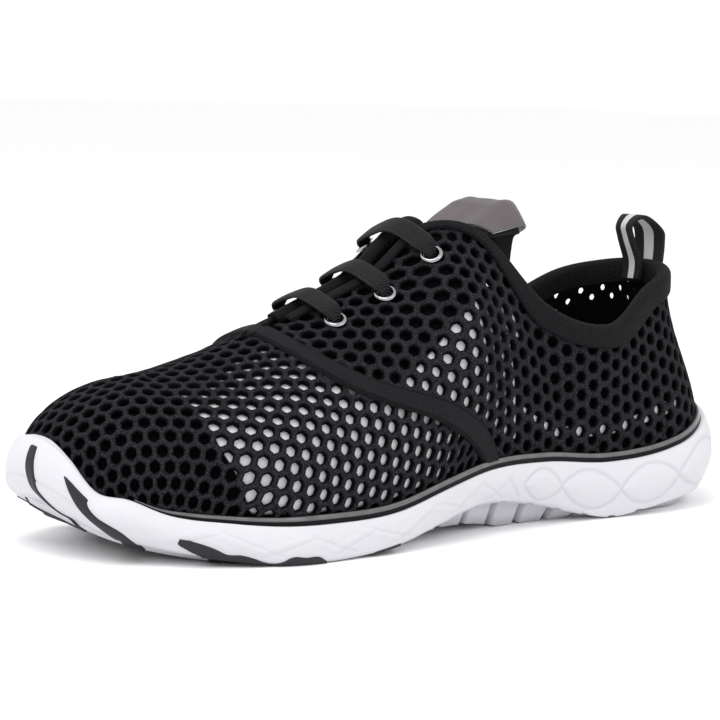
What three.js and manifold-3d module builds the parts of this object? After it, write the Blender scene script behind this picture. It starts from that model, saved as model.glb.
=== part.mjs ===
// Water shoe for the left foot: a mesh slip-on upper on a white foam sole.
// Millimetres, +Z up, toe towards -Y, outer side of the foot towards +X.
// The origin is on the floor, on the heel's flat rest.
import * as THREE from "three";
import { mergeVertices } from "three/addons/utils/BufferGeometryUtils.js";
import Module from "manifold-3d";

// Driving sizes of the last
const LENGTH = 282;          // footbed, heel to toe
const BALL_WIDTH = 91;       // across the ball of the foot
const HEEL_WIDTH = 66;       // across the heel
const HEEL_HEIGHT = 88;      // collar at the back
const ANKLE_HEIGHT = 68.5;   // lowest dip of the collar
const INSTEP_HEIGHT = 104;   // top of the throat
const TOE_HEIGHT = 46;       // crown of the toe
const HEEL_REST = 40;        // from the back of the footbed to the origin

// Driving sizes of the sole
const BACK_RISE = 36;        // sidewall at the back of the heel
const SIDE_RISE = 22;        // sidewall at the waist
const BALL_RISE = 13;        // sidewall at the ball
const BUMPER_RISE = 38.5;    // sidewall at the tip of the toe
const ARCH_RISE = 11;        // lower edge of the sidewall at the waist
const TOE_SPRING = 17;       // lower edge of the sidewall at the toe
const FLARE = 6;             // fullest swell of the sidewall past the upper
const RUBBER_WALL = 2;
const STRIPE_WALL = 1.3;
const POCKET_GAP = 0.9;      // move of a pocket's corners, which leaves about 0.3 at its faces
const GROOVE_WIDTH = 3;
const LUG_DEPTH = 1.4;
const HEEL_LUG_DEPTH = 2.4;
const RELIEF_WIDTH = 1.2;    // carved lines of the sidewall
const RELIEF_DEPTH = 0.9;
const INSOLE_WALL = 3;

// Walls, layers and clearances
const CLEARANCE = 0.3;
const WALL = 2.2;               // mesh upper with its lining
const BAND_WALL = 0.9;
const RAND_WALL = 1.5;
const RAND_HEIGHT = 3.2;
const RAND_TAPER = 0.55;        // share of its wall that the rand loses towards its top
const BINDING_WALL = 1.2;
const BINDING_GAP = 0.72;       // the folded strip stands off the bends of the wall
const BINDING_CROWN = 0.55;     // swell of the strip's middle
const COLLAR_BINDING = 7.5;     // width of the strip round the collar
const THROAT_BINDING = 3.6;     // and down the throat

// Tongue and its ribbon label
const TONGUE_WALL = 1.8;
const TONGUE_REACH = 30;        // tongue past the top of the throat
const TONGUE_ARCH = 0.8;        // rise of its middle over its shoulders, down the throat
const TONGUE_CROWN = 2.4;       // and where it leaves the upper's inside
const TONGUE_LEAVES = 12;       // which lies this far past the top of the throat
const TONGUE_DROOP = 3.5;       // fall of the outer shoulder at the tongue's end
const LABEL_SHARE = 0.9;        // width of the ribbon, as a share of the tongue's between its shoulders
const LABEL_TUCK = 0.8;         // share of that width left to the back leaf, inside the tongue's sides
const LABEL_WALL = 0.7;
const LABEL_FOLD = 3;           // slack of the ribbon over the tongue's edge

// Pull loop at the heel
const LOOP_WIDTH = 14;
const LOOP_PLACE = -0.010;      // station of its middle, a little to the inner side of the heel's
const LOOP_WALL = 1.3;
const LOOP_RISE = 18;
const LOOP_DEPTH = 12.5;
const LOOP_OUTSIDE = 10;        // length of the strap down the outside
const LOOP_INSIDE = 6;          // and down the inside
const LOOP_WAIST = 0.45;        // shares of its rise between which the loop is widest
const LOOP_SHOULDER = 0.75;

// Eyelets and lace bars
const EYELET_RADIUS = 4;
const EYELET_BORE = 2.4;
const EYELET_WALL = 0.5;
const EYELET_FLANGE = 0.75;
const EYELET_CREST = 0.6;       // share of the flange's width at which it is thickest
const EYELET_SEAT = 0.4;        // gap under the flange, over the bend of the wall
const LACE_WIDTH = 6.4;
const LACE_WALL = 1.7;
const LACE_NECK = 3;            // width of a lace where it enters an eyelet
const LACE_SHOULDER = 4.6;      // and where it leaves the eyelet's flange

// Where the walk round the shoe meets its landmarks: 0 is the middle of the heel, 1 the tip of the toe
const HEEL_TURN = 0.155;
const TOE_TURN = 0.80;
const HEEL_POLE = 0.125;     // share of the length where the heel's fan has its pole
const TOE_POLE = 0.855;      // the same for the toe's fan
const TURN_POWER = 0.9;      // roundness of both fans
const TONGUE_TOP = 0.44;
const THROAT_END = 0.64;
const TONGUE_FOOT = 0.67;
const BINDING_STOP = 0.006;  // the binding ends this much of the walk before the throat does
const BINDING_NARROWS = [0.37, 0.44];
const RAND_END = 0.88;
const EYELET_STATIONS = [0.60, 0.535, 0.478];
const EYELET_LEVEL = 0.89;
const LEAF_NODES = [0.158, 0.248, 0.340, 0.400];  // crossings of the leaf pattern carved in the sidewall
const LEAF_LEVEL = 0.5;
const LEAF_BOW = 0.3;
const LEAF_ENDS = [0.06, 0.94];
const HEEL_GROOVES = [0.05, 0.085, 0.195, 0.24, 0.285, 0.33];  // shares of the length
const WAIST_GROOVES = [0.38, 0.43, 0.48, 0.53];
const BALL_GROOVES = [0.64, 0.67, 0.70, 0.79];
const TREAD_EDGE = [0.78, 0.90];  // between these shares of its half width the tread turns up

// Length of one unit of the walk between the two turns
const WALK_LENGTH = LENGTH * (TOE_POLE - HEEL_POLE) / (TOE_TURN - HEEL_TURN);

// Small steps of walk, level and side height over which a face's slope is taken
const STEP_WALK = 0.004;
const STEP_LEVEL = 0.01;
const STEP_SIDE = 0.03;
const EDGE_LEVEL = 0.012;    // the slope at an edge is taken this far inside it
const FAN_LEVEL = 1.999;     // past this the ridge has one slope for each fan
const HALVINGS = 24;
const WELD = 0.001;

const DEG = Math.PI / 180;

// A table's columns have a unit each: a size, 1 for a plain share, or "of", the size named in the row
function table(columns, rows) {
  const names = Object.keys(columns);
  const out = {};
  names.forEach((name, k) => {
    out[name] = rows.map((row) => {
      const unit = columns[name] === "of" ? row[names.indexOf("of")] : columns[name];
      return row[k] * unit;
    });
  });
  return out;
}

const PLAN = table({ s: 1, of: 1, centre: "of", outer: "of", inner: "of", ridge: "of" }, [
  [0.00, HEEL_WIDTH, 0.030, 0.490, 0.470, 0.000],
  [0.14, HEEL_WIDTH, 0.040, 0.515, 0.485, 0.000],
  [0.30, HEEL_WIDTH, 0.020, 0.500, 0.470, -0.015],
  [0.45, BALL_WIDTH, 0.015, 0.395, 0.352, -0.033],
  [0.58, BALL_WIDTH, 0.014, 0.465, 0.418, -0.055],
  [0.70, BALL_WIDTH, -0.024, 0.514, 0.484, -0.077],
  [0.80, BALL_WIDTH, -0.048, 0.512, 0.462, -0.099],
  [0.90, BALL_WIDTH, -0.119, 0.430, 0.370, -0.132],
  [1.00, BALL_WIDTH, -0.160, 0.368, 0.330, -0.165],
]);

// Sections of the upper: top edge, its distance from the ridge, the lean of the wall at its foot,
// the slope of the wall at the edge, and the pull of the two curve handles
const UPPER = table({ t: 1, of: 1, edge: "of", inset: HEEL_WIDTH, lean: DEG, slope: DEG, low: 1, high: 1 }, [
  [0.000, HEEL_HEIGHT, 1.00, 0.318, -2, 98, 0.35, 0.35],
  [0.080, HEEL_HEIGHT, 0.99, 0.333, 4, 92, 0.35, 0.35],
  [0.155, HEEL_HEIGHT, 0.943, 0.394, 6, 88, 0.35, 0.35],
  [0.260, ANKLE_HEIGHT, 1.00, 0.515, 6, 84, 0.35, 0.35],
  [0.340, ANKLE_HEIGHT, 1.124, 0.424, 6, 76, 0.35, 0.40],
  [0.410, INSTEP_HEIGHT, 0.995, 0.212, 6, 50, 0.38, 0.42],
  [0.460, INSTEP_HEIGHT, 1.000, 0.091, 6, 22, 0.40, 0.50],
  [0.520, INSTEP_HEIGHT, 0.860, 0.061, 7, 18, 0.42, 0.50],
  [0.610, INSTEP_HEIGHT, 0.735, 0.045, 8, 15, 0.45, 0.52],
  [0.700, TOE_HEIGHT, 1.413, 0.045, 10, 10, 0.50, 0.55],
  [0.800, TOE_HEIGHT, 1.228, 0.061, 12, 8, 0.55, 0.55],
  [0.900, TOE_HEIGHT, 1.222, 0.106, 12, 12, 0.52, 0.55],
  [1.000, TOE_HEIGHT, 1.205, 0.136, 12, 17, 0.50, 0.58],
]);

// Sections of the sidewall: its top, the footbed inside it, and its swell at top, middle and foot
const SIDE = table({ t: 1, of: 1, top: "of", bed: "of", lip: FLARE, belly: FLARE, foot: FLARE }, [
  [0.000, BACK_RISE, 1.00, 0.67, 0.50, 1.08, 0.00],
  [0.080, BACK_RISE, 0.875, 0.66, 0.50, 1.00, 0.33],
  [0.155, SIDE_RISE, 1.09, 0.87, 0.50, 0.92, 0.58],
  [0.260, SIDE_RISE, 0.93, 0.73, 0.50, 0.83, 0.58],
  [0.360, SIDE_RISE, 1.045, 0.73, 0.50, 0.67, 0.17],
  [0.450, SIDE_RISE, 1.045, 0.73, 0.50, 0.50, 0.00],
  [0.530, SIDE_RISE, 0.865, 0.62, 0.50, 0.50, 0.17],
  [0.610, BALL_RISE, 1.04, 0.66, 0.50, 0.67, 0.50],
  [0.700, BALL_RISE, 0.96, 0.61, 0.50, 0.75, 0.58],
  [0.800, BALL_RISE, 1.09, 0.78, 0.50, 0.75, 0.33],
  [0.850, BUMPER_RISE, 0.43, 0.327, 0.45, 0.78, 0.08],
  [0.885, BUMPER_RISE, 0.55, 0.379, 0.42, 0.79, -0.10],
  [0.915, BUMPER_RISE, 0.60, 0.420, 0.38, 0.79, -0.22],
  [0.944, BUMPER_RISE, 0.84, 0.492, 0.34, 0.76, -0.31],
  [0.965, BUMPER_RISE, 0.945, 0.545, 0.31, 0.76, -0.34],
  [1.000, BUMPER_RISE, 1.00, 0.580, 0.25, 0.72, -0.57],
]);

// Underside: the lower edge of both sidewalls, and the drop of the tread inside it, which ends at the floor
const UNDER = table({ t: 1, of: 1, outer: "of", inner: "of", drop: "of" }, [
  [0.000, TOE_SPRING, 0.60, 0.60, 0.12],
  [0.080, TOE_SPRING, 0.44, 0.44, 0.22],
  [0.155, TOE_SPRING, 0.27, 0.27, 0.30],
  [0.200, TOE_SPRING, 0.15, 0.15, 0.25],
  [0.260, ARCH_RISE, 0.05, 0.05, 0.30],
  [0.310, ARCH_RISE, 0.28, 0.28, 0.50],
  [0.360, ARCH_RISE, 0.62, 0.65, 0.85],
  [0.450, ARCH_RISE, 0.95, 1.00, 0.75],
  [0.530, ARCH_RISE, 0.68, 0.75, 0.42],
  [0.610, TOE_SPRING, 0.15, 0.15, 0.25],
  [0.700, TOE_SPRING, 0.03, 0.03, 0.12],
  [0.800, TOE_SPRING, 0.14, 0.22, 0.12],
  [0.900, TOE_SPRING, 0.50, 0.74, 0.09],
  [0.950, TOE_SPRING, 0.80, 0.97, 0.06],
  [1.000, TOE_SPRING, 1.00, 1.00, 0.03],
]);

// The smooth band that joins vamp and quarters: station and half width at each level of the wall
const BAND = table({ v: 1, t: 1, half: 1 }, [
  [0.00, 0.433, 0.012],
  [0.07, 0.446, 0.013],
  [0.15, 0.465, 0.017],
  [0.28, 0.507, 0.018],
  [0.38, 0.543, 0.020],
  [0.46, 0.577, 0.020],
  [0.58, 0.620, 0.016],
  [0.71, 0.646, 0.012],
  [0.85, 0.660, 0.010],
  [1.00, 0.665, 0.010],
  [2.00, 0.666, 0.010],
]);

// Reach of the forefoot rubber: 1 is the lower edge of the sidewall, more runs up the side in two pods
const FOREFOOT_RUBBER = table({ t: 1, reach: 1 }, [
  [0.600, 1.10],
  [0.628, 1.05],
  [0.655, 1.05],
  [0.680, 1.05],
  [0.705, 1.05],
  [0.718, 1.17],
  [0.742, 1.19],
  [0.757, 1.06],
  [0.776, 1.06],
  [0.792, 1.15],
  [0.815, 1.26],
  [0.845, 1.38],
]);

// Rubber stripes at the toe: station and half width, from the inner side under the foot up the outer side
const TOE_STRIPES = [
  table({ b: 1, t: 1, half: 1 }, [
    [-1.25, 0.900, 0.009], [-1.00, 0.885, 0.008], [-0.75, 0.872, 0.007],
    [0.00, 0.865, 0.007], [0.75, 0.872, 0.010], [1.00, 0.889, 0.012], [1.25, 0.904, 0.013],
    [1.50, 0.922, 0.013], [1.78, 0.930, 0.014]]),
  table({ b: 1, t: 1, half: 1 }, [
    [-1.00, 0.950, 0.004], [-0.75, 0.935, 0.004], [0.00, 0.925, 0.004], [0.75, 0.937, 0.004],
    [1.00, 0.967, 0.005], [1.25, 0.982, 0.006], [1.50, 0.985, 0.008], [1.86, 0.985, 0.008]]),
];

// Cubic through a table's column, with slopes from its neighbours, and level at both ends of the walk
function smooth(tab, key, column, x) {
  const xs = tab[key];
  const ys = tab[column];
  const last = xs.length - 1;
  const at = Math.min(Math.max(x, xs[0]), xs[last]);
  let i = 0;
  while (i < last - 1 && at > xs[i + 1]) i += 1;
  const slope = (k) => (ys[k + 1] - ys[k]) / (xs[k + 1] - xs[k]);
  const tangent = (k) => {
    if (key === "t" && (xs[k] === 0 || xs[k] === 1)) return 0;
    if (k === 0) return slope(0);
    if (k === last) return slope(last - 1);
    const before = xs[k] - xs[k - 1];
    const after = xs[k + 1] - xs[k];
    return (slope(k - 1) * after + slope(k) * before) / (before + after);
  };
  const h = xs[i + 1] - xs[i];
  const f = (at - xs[i]) / h;
  return (2 * f ** 3 - 3 * f ** 2 + 1) * ys[i] + (f ** 3 - 2 * f ** 2 + f) * h * tangent(i)
    + (-2 * f ** 3 + 3 * f ** 2) * ys[i + 1] + (f ** 3 - f ** 2) * h * tangent(i + 1);
}

const clamp = (x, low, high) => Math.min(Math.max(x, low), high);
const mix = (a, b, f) => a + (b - a) * f;
const ease = (x, low, high) => {
  const f = clamp((x - low) / (high - low), 0, 1);
  return f * f * (3 - 2 * f);
};

// The walk runs from -1 (toe) along the inner side to 0 (heel) and along the outer side to 1 (toe)
const wrap = (u) => ((((u + 1) % 2) + 2) % 2) - 1;

// Foot of the wall and the ridge above it, at one point of the walk
function station(walk) {
  const u = wrap(walk);
  const t = Math.abs(u);
  let s = HEEL_POLE + (t - HEEL_TURN) / (TOE_TURN - HEEL_TURN) * (TOE_POLE - HEEL_POLE);
  let width = 1;
  if (t < HEEL_TURN) {
    const angle = t / HEEL_TURN * Math.PI / 2;
    s = HEEL_POLE * (1 - Math.cos(angle));
    width = Math.sin(angle) ** TURN_POWER;
  }
  if (t > TOE_TURN) {
    const angle = (t - TOE_TURN) / (1 - TOE_TURN) * Math.PI / 2;
    s = TOE_POLE + (1 - TOE_POLE) * Math.sin(angle);
    width = Math.max(Math.cos(angle), 0) ** TURN_POWER;
  }
  const half = u < 0 ? -smooth(PLAN, "s", "inner", s) : smooth(PLAN, "s", "outer", s);
  const pole = clamp(s, HEEL_POLE, TOE_POLE);
  const ridge = new THREE.Vector2(smooth(PLAN, "s", "ridge", pole), HEEL_REST - pole * LENGTH);
  const foot = new THREE.Vector2(smooth(PLAN, "s", "centre", s) + half * width, HEEL_REST - s * LENGTH);
  const reach = foot.distanceTo(ridge);
  return { t, ridge, reach, way: foot.sub(ridge).divideScalar(reach) };
}

// Outer face of the upper: v is 0 at the footbed, 1 at the top edge and 2 on the ridge
function lastPoint(walk, level) {
  const over = level > 2;
  const { t, ridge, reach, way } = station(over ? -walk : walk);
  const v = over ? 4 - level : level;
  const row = (name) => smooth(UPPER, "t", name, t);
  const bed = smooth(SIDE, "t", "bed", t);
  const edge = row("edge");
  const inset = row("inset");
  const slope = row("slope");
  const rise = edge - bed;
  const span = Math.hypot(reach - inset, rise);
  const r = [reach, reach + row("low") * rise * Math.sin(row("lean")),
    inset + row("high") * span * Math.cos(slope), inset];
  const z = [bed, bed + row("low") * rise * Math.cos(row("lean")),
    edge - row("high") * span * Math.sin(slope), edge];
  const f = clamp(v, 0, 1);
  const g = 1 - f;
  const weight = [g ** 3, 3 * g * g * f, 3 * g * f * f, f ** 3];
  let out = weight.reduce((sum, w, k) => sum + w * r[k], 0);
  let up = weight.reduce((sum, w, k) => sum + w * z[k], 0);
  if (v > 1) {
    out = inset * (2 - v);
    up = edge + Math.tan(slope) * (inset ** 2 - out ** 2) / (2 * inset);
  }
  return new THREE.Vector3(ridge.x + way.x * out, ridge.y + way.y * out, up);
}

// Outward normal of a face given by a function of two parameters
function normalOf(face, a, b, stepA, stepB) {
  const alongA = face(a + stepA, b).sub(face(a - stepA, b));
  const alongB = face(a, b + stepB).sub(face(a, b - stepB));
  return alongB.cross(alongA).normalize();
}

// The last's face moved out by a distance, or in where it is negative
function skin(walk, v, out) {
  const u = wrap(walk);
  const fan = v > FAN_LEVEL ? clamp(Math.abs(u), HEEL_TURN, TOE_TURN) * Math.sign(u || 1) : u;
  const level = v > 1 ? v : clamp(v, EDGE_LEVEL, 1 - EDGE_LEVEL);
  return lastPoint(fan, v).addScaledVector(normalOf(lastPoint, fan, level, STEP_WALK, STEP_LEVEL), out);
}

// Level of the wall at a height above the floor
function levelAt(u, height) {
  let low = 0;
  let high = 1;
  for (let k = 0; k < HALVINGS; k += 1) {
    const middle = (low + high) / 2;
    if (lastPoint(u, middle).z < height) low = middle;
    else high = middle;
  }
  return (low + high) / 2;
}

const soleTop = (u) => smooth(SIDE, "t", "top", Math.abs(wrap(u)));

// Underside of the sole: p runs from -1 at the inner edge to 1 at the outer edge
function underPoint(t, p) {
  const edge = (u) => sidePoint(u, 0);
  const inner = edge(-t);
  const point = inner.lerp(edge(t), (p + 1) / 2);
  const tread = Math.max(point.z - smooth(UNDER, "t", "drop", t), 0);
  point.z = mix(tread, point.z, ease(Math.abs(p), ...TREAD_EDGE));
  return point;
}

// Sidewall of the sole: level 0 is its lower edge and 1 its top
function sidePoint(u, level) {
  const { t, ridge, reach, way } = station(u);
  const row = (name) => smooth(SIDE, "t", name, t);
  const swell = row("foot") * (1 - level) * (1 - 2 * level) + row("belly") * 4 * level * (1 - level)
    + row("lip") * level * (2 * level - 1);
  const bottom = Math.max(smooth(UNDER, "t", wrap(u) < 0 ? "inner" : "outer", t), 0);
  const out = reach + swell;
  return new THREE.Vector3(ridge.x + way.x * out, ridge.y + way.y * out, mix(bottom, row("top"), level));
}

// Whole outside of the sole: b is -1 to 1 under the foot, and past that runs up the sides
function solePoint(t, b) {
  if (Math.abs(b) <= 1) return underPoint(t, b);
  return sidePoint(t * Math.sign(b), Math.abs(b) - 1);
}

function soleSkin(t, b, out) {
  return solePoint(t, b).addScaledVector(normalOf(solePoint, t, b, STEP_WALK, STEP_SIDE), out);
}

// Evenly spaced values
const steps = (from, to, count) => Array.from({ length: count + 1 }, (_, k) => mix(from, to, k / count));

// Points of a grid joined by triangles that face along the second parameter's turn to the first
class Facets {
  constructor() {
    this.positions = [];
  }

  triangle(a, b, c) {
    for (const point of [a, b, c]) this.positions.push(point.x, point.y, point.z);
  }

  grid(as, bs, face) {
    const points = as.map((a) => bs.map((b) => face(a, b)));
    for (let i = 0; i + 1 < as.length; i += 1) {
      for (let j = 0; j + 1 < bs.length; j += 1) {
        this.triangle(points[i][j], points[i][j + 1], points[i + 1][j + 1]);
        this.triangle(points[i][j], points[i + 1][j + 1], points[i + 1][j]);
      }
    }
    return this;
  }

  // One closed mesh: shared points are merged and flattened triangles dropped
  geometry() {
    const loose = new THREE.BufferGeometry();
    loose.setAttribute("position", new THREE.Float32BufferAttribute(this.positions, 3));
    const merged = mergeVertices(loose, WELD);
    const index = merged.index.array;
    const kept = [];
    for (let k = 0; k < index.length; k += 3) {
      const [a, b, c] = [index[k], index[k + 1], index[k + 2]];
      if (a !== b && b !== c && c !== a) kept.push(a, b, c);
    }
    merged.setIndex(kept);
    return merged;
  }
}

// A layer between two faces of one sheet, closed along every open edge of the sheet
function thicken(sheets, place) {
  const flat = new Facets();
  const lookup = new Map();
  const keyOf = (p) => [p.x, p.y, p.z].map((x) => Math.round(x / (2 * WELD))).join();
  const pairs = [];
  const faces = [];
  const idOf = (a, b) => {
    const inner = place(a, b, 0);
    const key = keyOf(inner);
    if (!lookup.has(key)) {
      lookup.set(key, pairs.length);
      pairs.push([inner, place(a, b, 1)]);
    }
    return lookup.get(key);
  };
  for (const [as, bs] of sheets) {
    const ids = as.map((a) => bs.map((b) => idOf(a, b)));
    for (let i = 0; i + 1 < as.length; i += 1) {
      for (let j = 0; j + 1 < bs.length; j += 1) {
        faces.push([ids[i][j], ids[i][j + 1], ids[i + 1][j + 1]]);
        faces.push([ids[i][j], ids[i + 1][j + 1], ids[i + 1][j]]);
      }
    }
  }
  const solid = faces.filter(([a, b, c]) => a !== b && b !== c && c !== a);
  const edges = new Set();
  const sides = ([a, b, c]) => [[a, b], [b, c], [c, a]];
  for (const [p, q] of solid.flatMap(sides)) edges.add(`${p},${q}`);
  for (const [a, b, c] of solid) {
    flat.triangle(pairs[a][1], pairs[b][1], pairs[c][1]);
    flat.triangle(pairs[a][0], pairs[c][0], pairs[b][0]);
    for (const [p, q] of sides([a, b, c])) {
      if (edges.has(`${q},${p}`)) continue;
      flat.triangle(pairs[q][1], pairs[p][1], pairs[p][0]);
      flat.triangle(pairs[q][1], pairs[p][0], pairs[q][0]);
    }
  }
  return flat.geometry();
}

// Solids for cutting and joining
const wasm = await Module();
wasm.setup();

function toSolid(geometry) {
  const bare = geometry.clone();
  bare.deleteAttribute("normal");
  bare.deleteAttribute("uv");
  const merged = mergeVertices(bare, WELD / 10);
  return new wasm.Manifold(new wasm.Mesh({
    numProp: 3,
    vertProperties: new Float32Array(merged.attributes.position.array),
    triVerts: new Uint32Array(merged.index.array),
  }));
}

function toGeometry(solid) {
  const mesh = solid.getMesh();
  const geometry = new THREE.BufferGeometry();
  geometry.setAttribute("position", new THREE.BufferAttribute(mesh.vertProperties, 3));
  geometry.setIndex(new THREE.BufferAttribute(mesh.triVerts, 1));
  return geometry;
}

// Material left of a body after cutting, without loose crumbs
function largest(solid) {
  const bigger = (best, piece) => (piece.volume() > best.volume() ? piece : best);
  return solid.decompose().reduce(bigger);
}

function cut(body, tools) {
  const left = tools.reduce((solid, tool) => solid.subtract(toSolid(tool)), body);
  return largest(toSolid(toGeometry(largest(left))));
}

const shoe = new THREE.Group();

function add(name, geometry, colour, roughness, metalness = 0) {
  const material = new THREE.MeshStandardMaterial({ color: colour, roughness, metalness });
  const mesh = new THREE.Mesh(geometry, material);
  mesh.name = name;
  shoe.add(mesh);
}

// Upper: one hollow wall, open at the collar, the throat and underneath

// Stations of the walk from heel to toe: from, to and number of steps, closer where the form turns
const ZONES = [
  [0, HEEL_TURN, 5],
  [HEEL_TURN, 0.34, 4],
  [0.34, 0.46, 5],
  [0.46, THROAT_END, 5],
  [THROAT_END, TOE_TURN, 4],
  [TOE_TURN, 1, 8],
];
const walk = [0, ...ZONES.flatMap(([from, to, count]) => steps(from, to, count).slice(1))];
const ring = [...walk.slice(1).map((t) => -t).reverse(), ...walk];
const wallLevels = [0, 0.15, 0.3, 0.46, 0.62, 0.78, 0.9, 1];
const capLevels = [1, 1.5, 2];

// A layer of the upper's own form, from one distance off its face to another
function upperLayer(from, to) {
  const front = walk.filter((t) => t >= THROAT_END);
  const back = front.map((t) => -t).reverse();
  const sheets = [[ring, wallLevels], [front, capLevels], [back, capLevels]];
  return thicken(sheets, (u, v, layer) => skin(u, v, layer ? to : from));
}

function eyeletFrame(t, side) {
  const u = t * side;
  const point = lastPoint(u, EYELET_LEVEL);
  const normal = normalOf(lastPoint, u, EYELET_LEVEL, STEP_WALK, STEP_LEVEL);
  const turn = new THREE.Quaternion().setFromUnitVectors(new THREE.Vector3(0, 1, 0), normal);
  return new THREE.Matrix4().compose(point, turn, new THREE.Vector3(1, 1, 1));
}

const eyeletPlaces = EYELET_STATIONS.flatMap((t) => [1, -1].map((side) => eyeletFrame(t, side)));

function upperGeometry() {
  const drill = new THREE.CylinderGeometry(1, 1, 1, 16);
  const radius = EYELET_BORE + EYELET_WALL + CLEARANCE;
  const holes = eyeletPlaces.map((frame) => drill.clone()
    .scale(radius, 4 * WALL, radius).applyMatrix4(frame));
  return toGeometry(cut(toSolid(upperLayer(-WALL, 0)), holes));
}

add("upper", upperGeometry(), 0x1b1b1f, 0.85);

// Sole: one foam unit with a cupped footbed, carved sides, and grooves that leave the lugs

// The last's outside, closed below and across its top, for cutting the cup out of the foam
function lastCore() {
  const outside = (u, v) => {
    const point = skin(u, v, CLEARANCE);
    if (v === 0) point.z -= CLEARANCE;
    return point;
  };
  const across = (v) => (p, t) => outside(-t, v).lerp(outside(t, v), (p + 1) / 2);
  const flip = (face) => (t, p) => face(p, t);
  return new Facets()
    .grid(ring, wallLevels, outside)
    .grid([-1, 1], walk, across(1))
    .grid(walk, [-1, 1], flip(across(0)))
    .geometry();
}

const treadShares = [-1, ...TREAD_EDGE.map((p) => -p).reverse(), 0, ...TREAD_EDGE, 1];

function soleBlock() {
  const lid = (p, t) => sidePoint(-t, 1).lerp(sidePoint(t, 1), (p + 1) / 2);
  return new Facets()
    .grid(ring, steps(0, 1, 4), sidePoint)
    .grid([-1, 1], walk, lid)
    .grid(walk, treadShares, underPoint)
    .geometry();
}

// A patch of the sole's outside, from a depth under it to a height over it
function solePatch(as, bs, face, depth, height) {
  const place = (a, b, layer) => {
    const [t, reach] = face(a, b);
    return soleSkin(t, reach, layer ? height : -depth);
  };
  return thicken([[as, bs]], place);
}

// Rubber under the ball of the foot
function forefootPatch(height) {
  const face = (t, b) => [t, b * smooth(FOREFOOT_RUBBER, "t", "reach", t)];
  return solePatch(FOREFOOT_RUBBER.t, [-1, -0.86, -0.72, 0, 0.72, 0.86, 1], face, RUBBER_WALL, height);
}

// Stripe of rubber at the toe; a pocket for it has more rows past its top
function stripePatch(stripe, height, past) {
  const face = (a, b) => [smooth(stripe, "b", "t", b) + a * smooth(stripe, "b", "half", b), b];
  const more = past.map((length) => length / BALL_RISE);
  const below = more.map((reach) => stripe.b[0] - reach);
  const above = more.map((reach) => stripe.b.at(-1) + reach);
  return solePatch([-1, 1], [...below, ...stripe.b, ...above], face, STRIPE_WALL, height);
}

// The same closed mesh with every corner moved out
function swollen(geometry, gap) {
  const grown = geometry.clone();
  grown.computeVertexNormals();
  const { position, normal } = grown.attributes;
  for (let k = 0; k < position.count; k += 1) {
    const corner = new THREE.Vector3().fromBufferAttribute(position, k);
    const outward = new THREE.Vector3().fromBufferAttribute(normal, k);
    position.setXYZ(k, ...corner.addScaledVector(outward, gap).toArray());
  }
  return grown;
}

// Pockets for the rubber: swollen copies of it, in their place and moved out through the surface
function pockets() {
  const patches = [0, RUBBER_WALL].flatMap((height) => [
    forefootPatch(height),
    ...TOE_STRIPES.map((stripe) => stripePatch(stripe, height, [CLEARANCE])),
  ]);
  return patches.map((patch) => swollen(patch, POCKET_GAP));
}

// Carved lines of the sidewall: from crossing to crossing, over and under each leaf
function leafLine(side, from, to, bow) {
  const face = (a, b) => {
    const t = mix(from, to, a);
    const slope = bow * Math.PI * Math.cos(a * Math.PI) * SIDE_RISE / ((to - from) * WALK_LENGTH);
    const half = RELIEF_WIDTH / 2 / SIDE_RISE * Math.hypot(1, slope);
    return [t * side, LEAF_LEVEL + bow * Math.sin(a * Math.PI) + b * half];
  };
  const place = (a, b, layer) => {
    const [u, level] = face(a, b);
    const outward = normalOf(sidePoint, u, level, STEP_WALK, STEP_SIDE);
    return sidePoint(u, level).addScaledVector(outward, layer ? RELIEF_DEPTH : -RELIEF_DEPTH);
  };
  return thicken([[steps(...LEAF_ENDS, 4), [-1, 1]]], place);
}

function leafLines() {
  const lines = [];
  for (const side of [1, -1]) {
    for (let k = 0; k + 1 < LEAF_NODES.length; k += 1) {
      lines.push(leafLine(side, LEAF_NODES[k], LEAF_NODES[k + 1], LEAF_BOW));
      lines.push(leafLine(side, LEAF_NODES[k], LEAF_NODES[k + 1], -LEAF_BOW));
    }
  }
  return lines;
}

// Grooves across the tread at shares of the length, to a depth above the tread there
function grooves(shares, depth) {
  return shares.map((s) => {
    const t = HEEL_TURN + (s - HEEL_POLE) * LENGTH / WALK_LENGTH;
    const tread = underPoint(t, 0).z;
    return new THREE.BoxGeometry(2 * BALL_WIDTH, GROOVE_WIDTH, 2 * depth)
      .translate(0, HEEL_REST - s * LENGTH, tread);
  });
}

function soleGeometry() {
  const tools = [
    lastCore(),
    ...pockets(),
    ...leafLines(),
    ...grooves(HEEL_GROOVES, HEEL_LUG_DEPTH),
    ...grooves(WAIST_GROOVES, HEEL_LUG_DEPTH),
  ];
  return toGeometry(cut(toSolid(soleBlock()), tools));
}

function forefootGeometry() {
  return toGeometry(cut(toSolid(forefootPatch(0)), grooves(BALL_GROOVES, LUG_DEPTH)));
}

add("sole", soleGeometry(), 0xeceaf2, 0.6);
add("forefoot_rubber", forefootGeometry(), 0x2c2c33, 0.7);
TOE_STRIPES.forEach((stripe, k) => add(`toe_stripe_${k + 1}`, stripePatch(stripe, 0, []), 0x2c2c33, 0.7));

// Insole: a thin sheet on the footbed, inside the foot of the wall
function insoleGeometry() {
  const edge = (u) => skin(u, 0, -WALL - 3 * CLEARANCE);
  const place = (t, p, layer) => {
    const point = edge(-t).lerp(edge(t), (p + 1) / 2);
    point.z = smooth(SIDE, "t", "bed", t) + (layer ? 0 : INSOLE_WALL);
    return point;
  };
  return thicken([[walk, [-1, 1]]], place);
}

add("insole", insoleGeometry(), 0xa9a9ae, 0.9);

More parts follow.
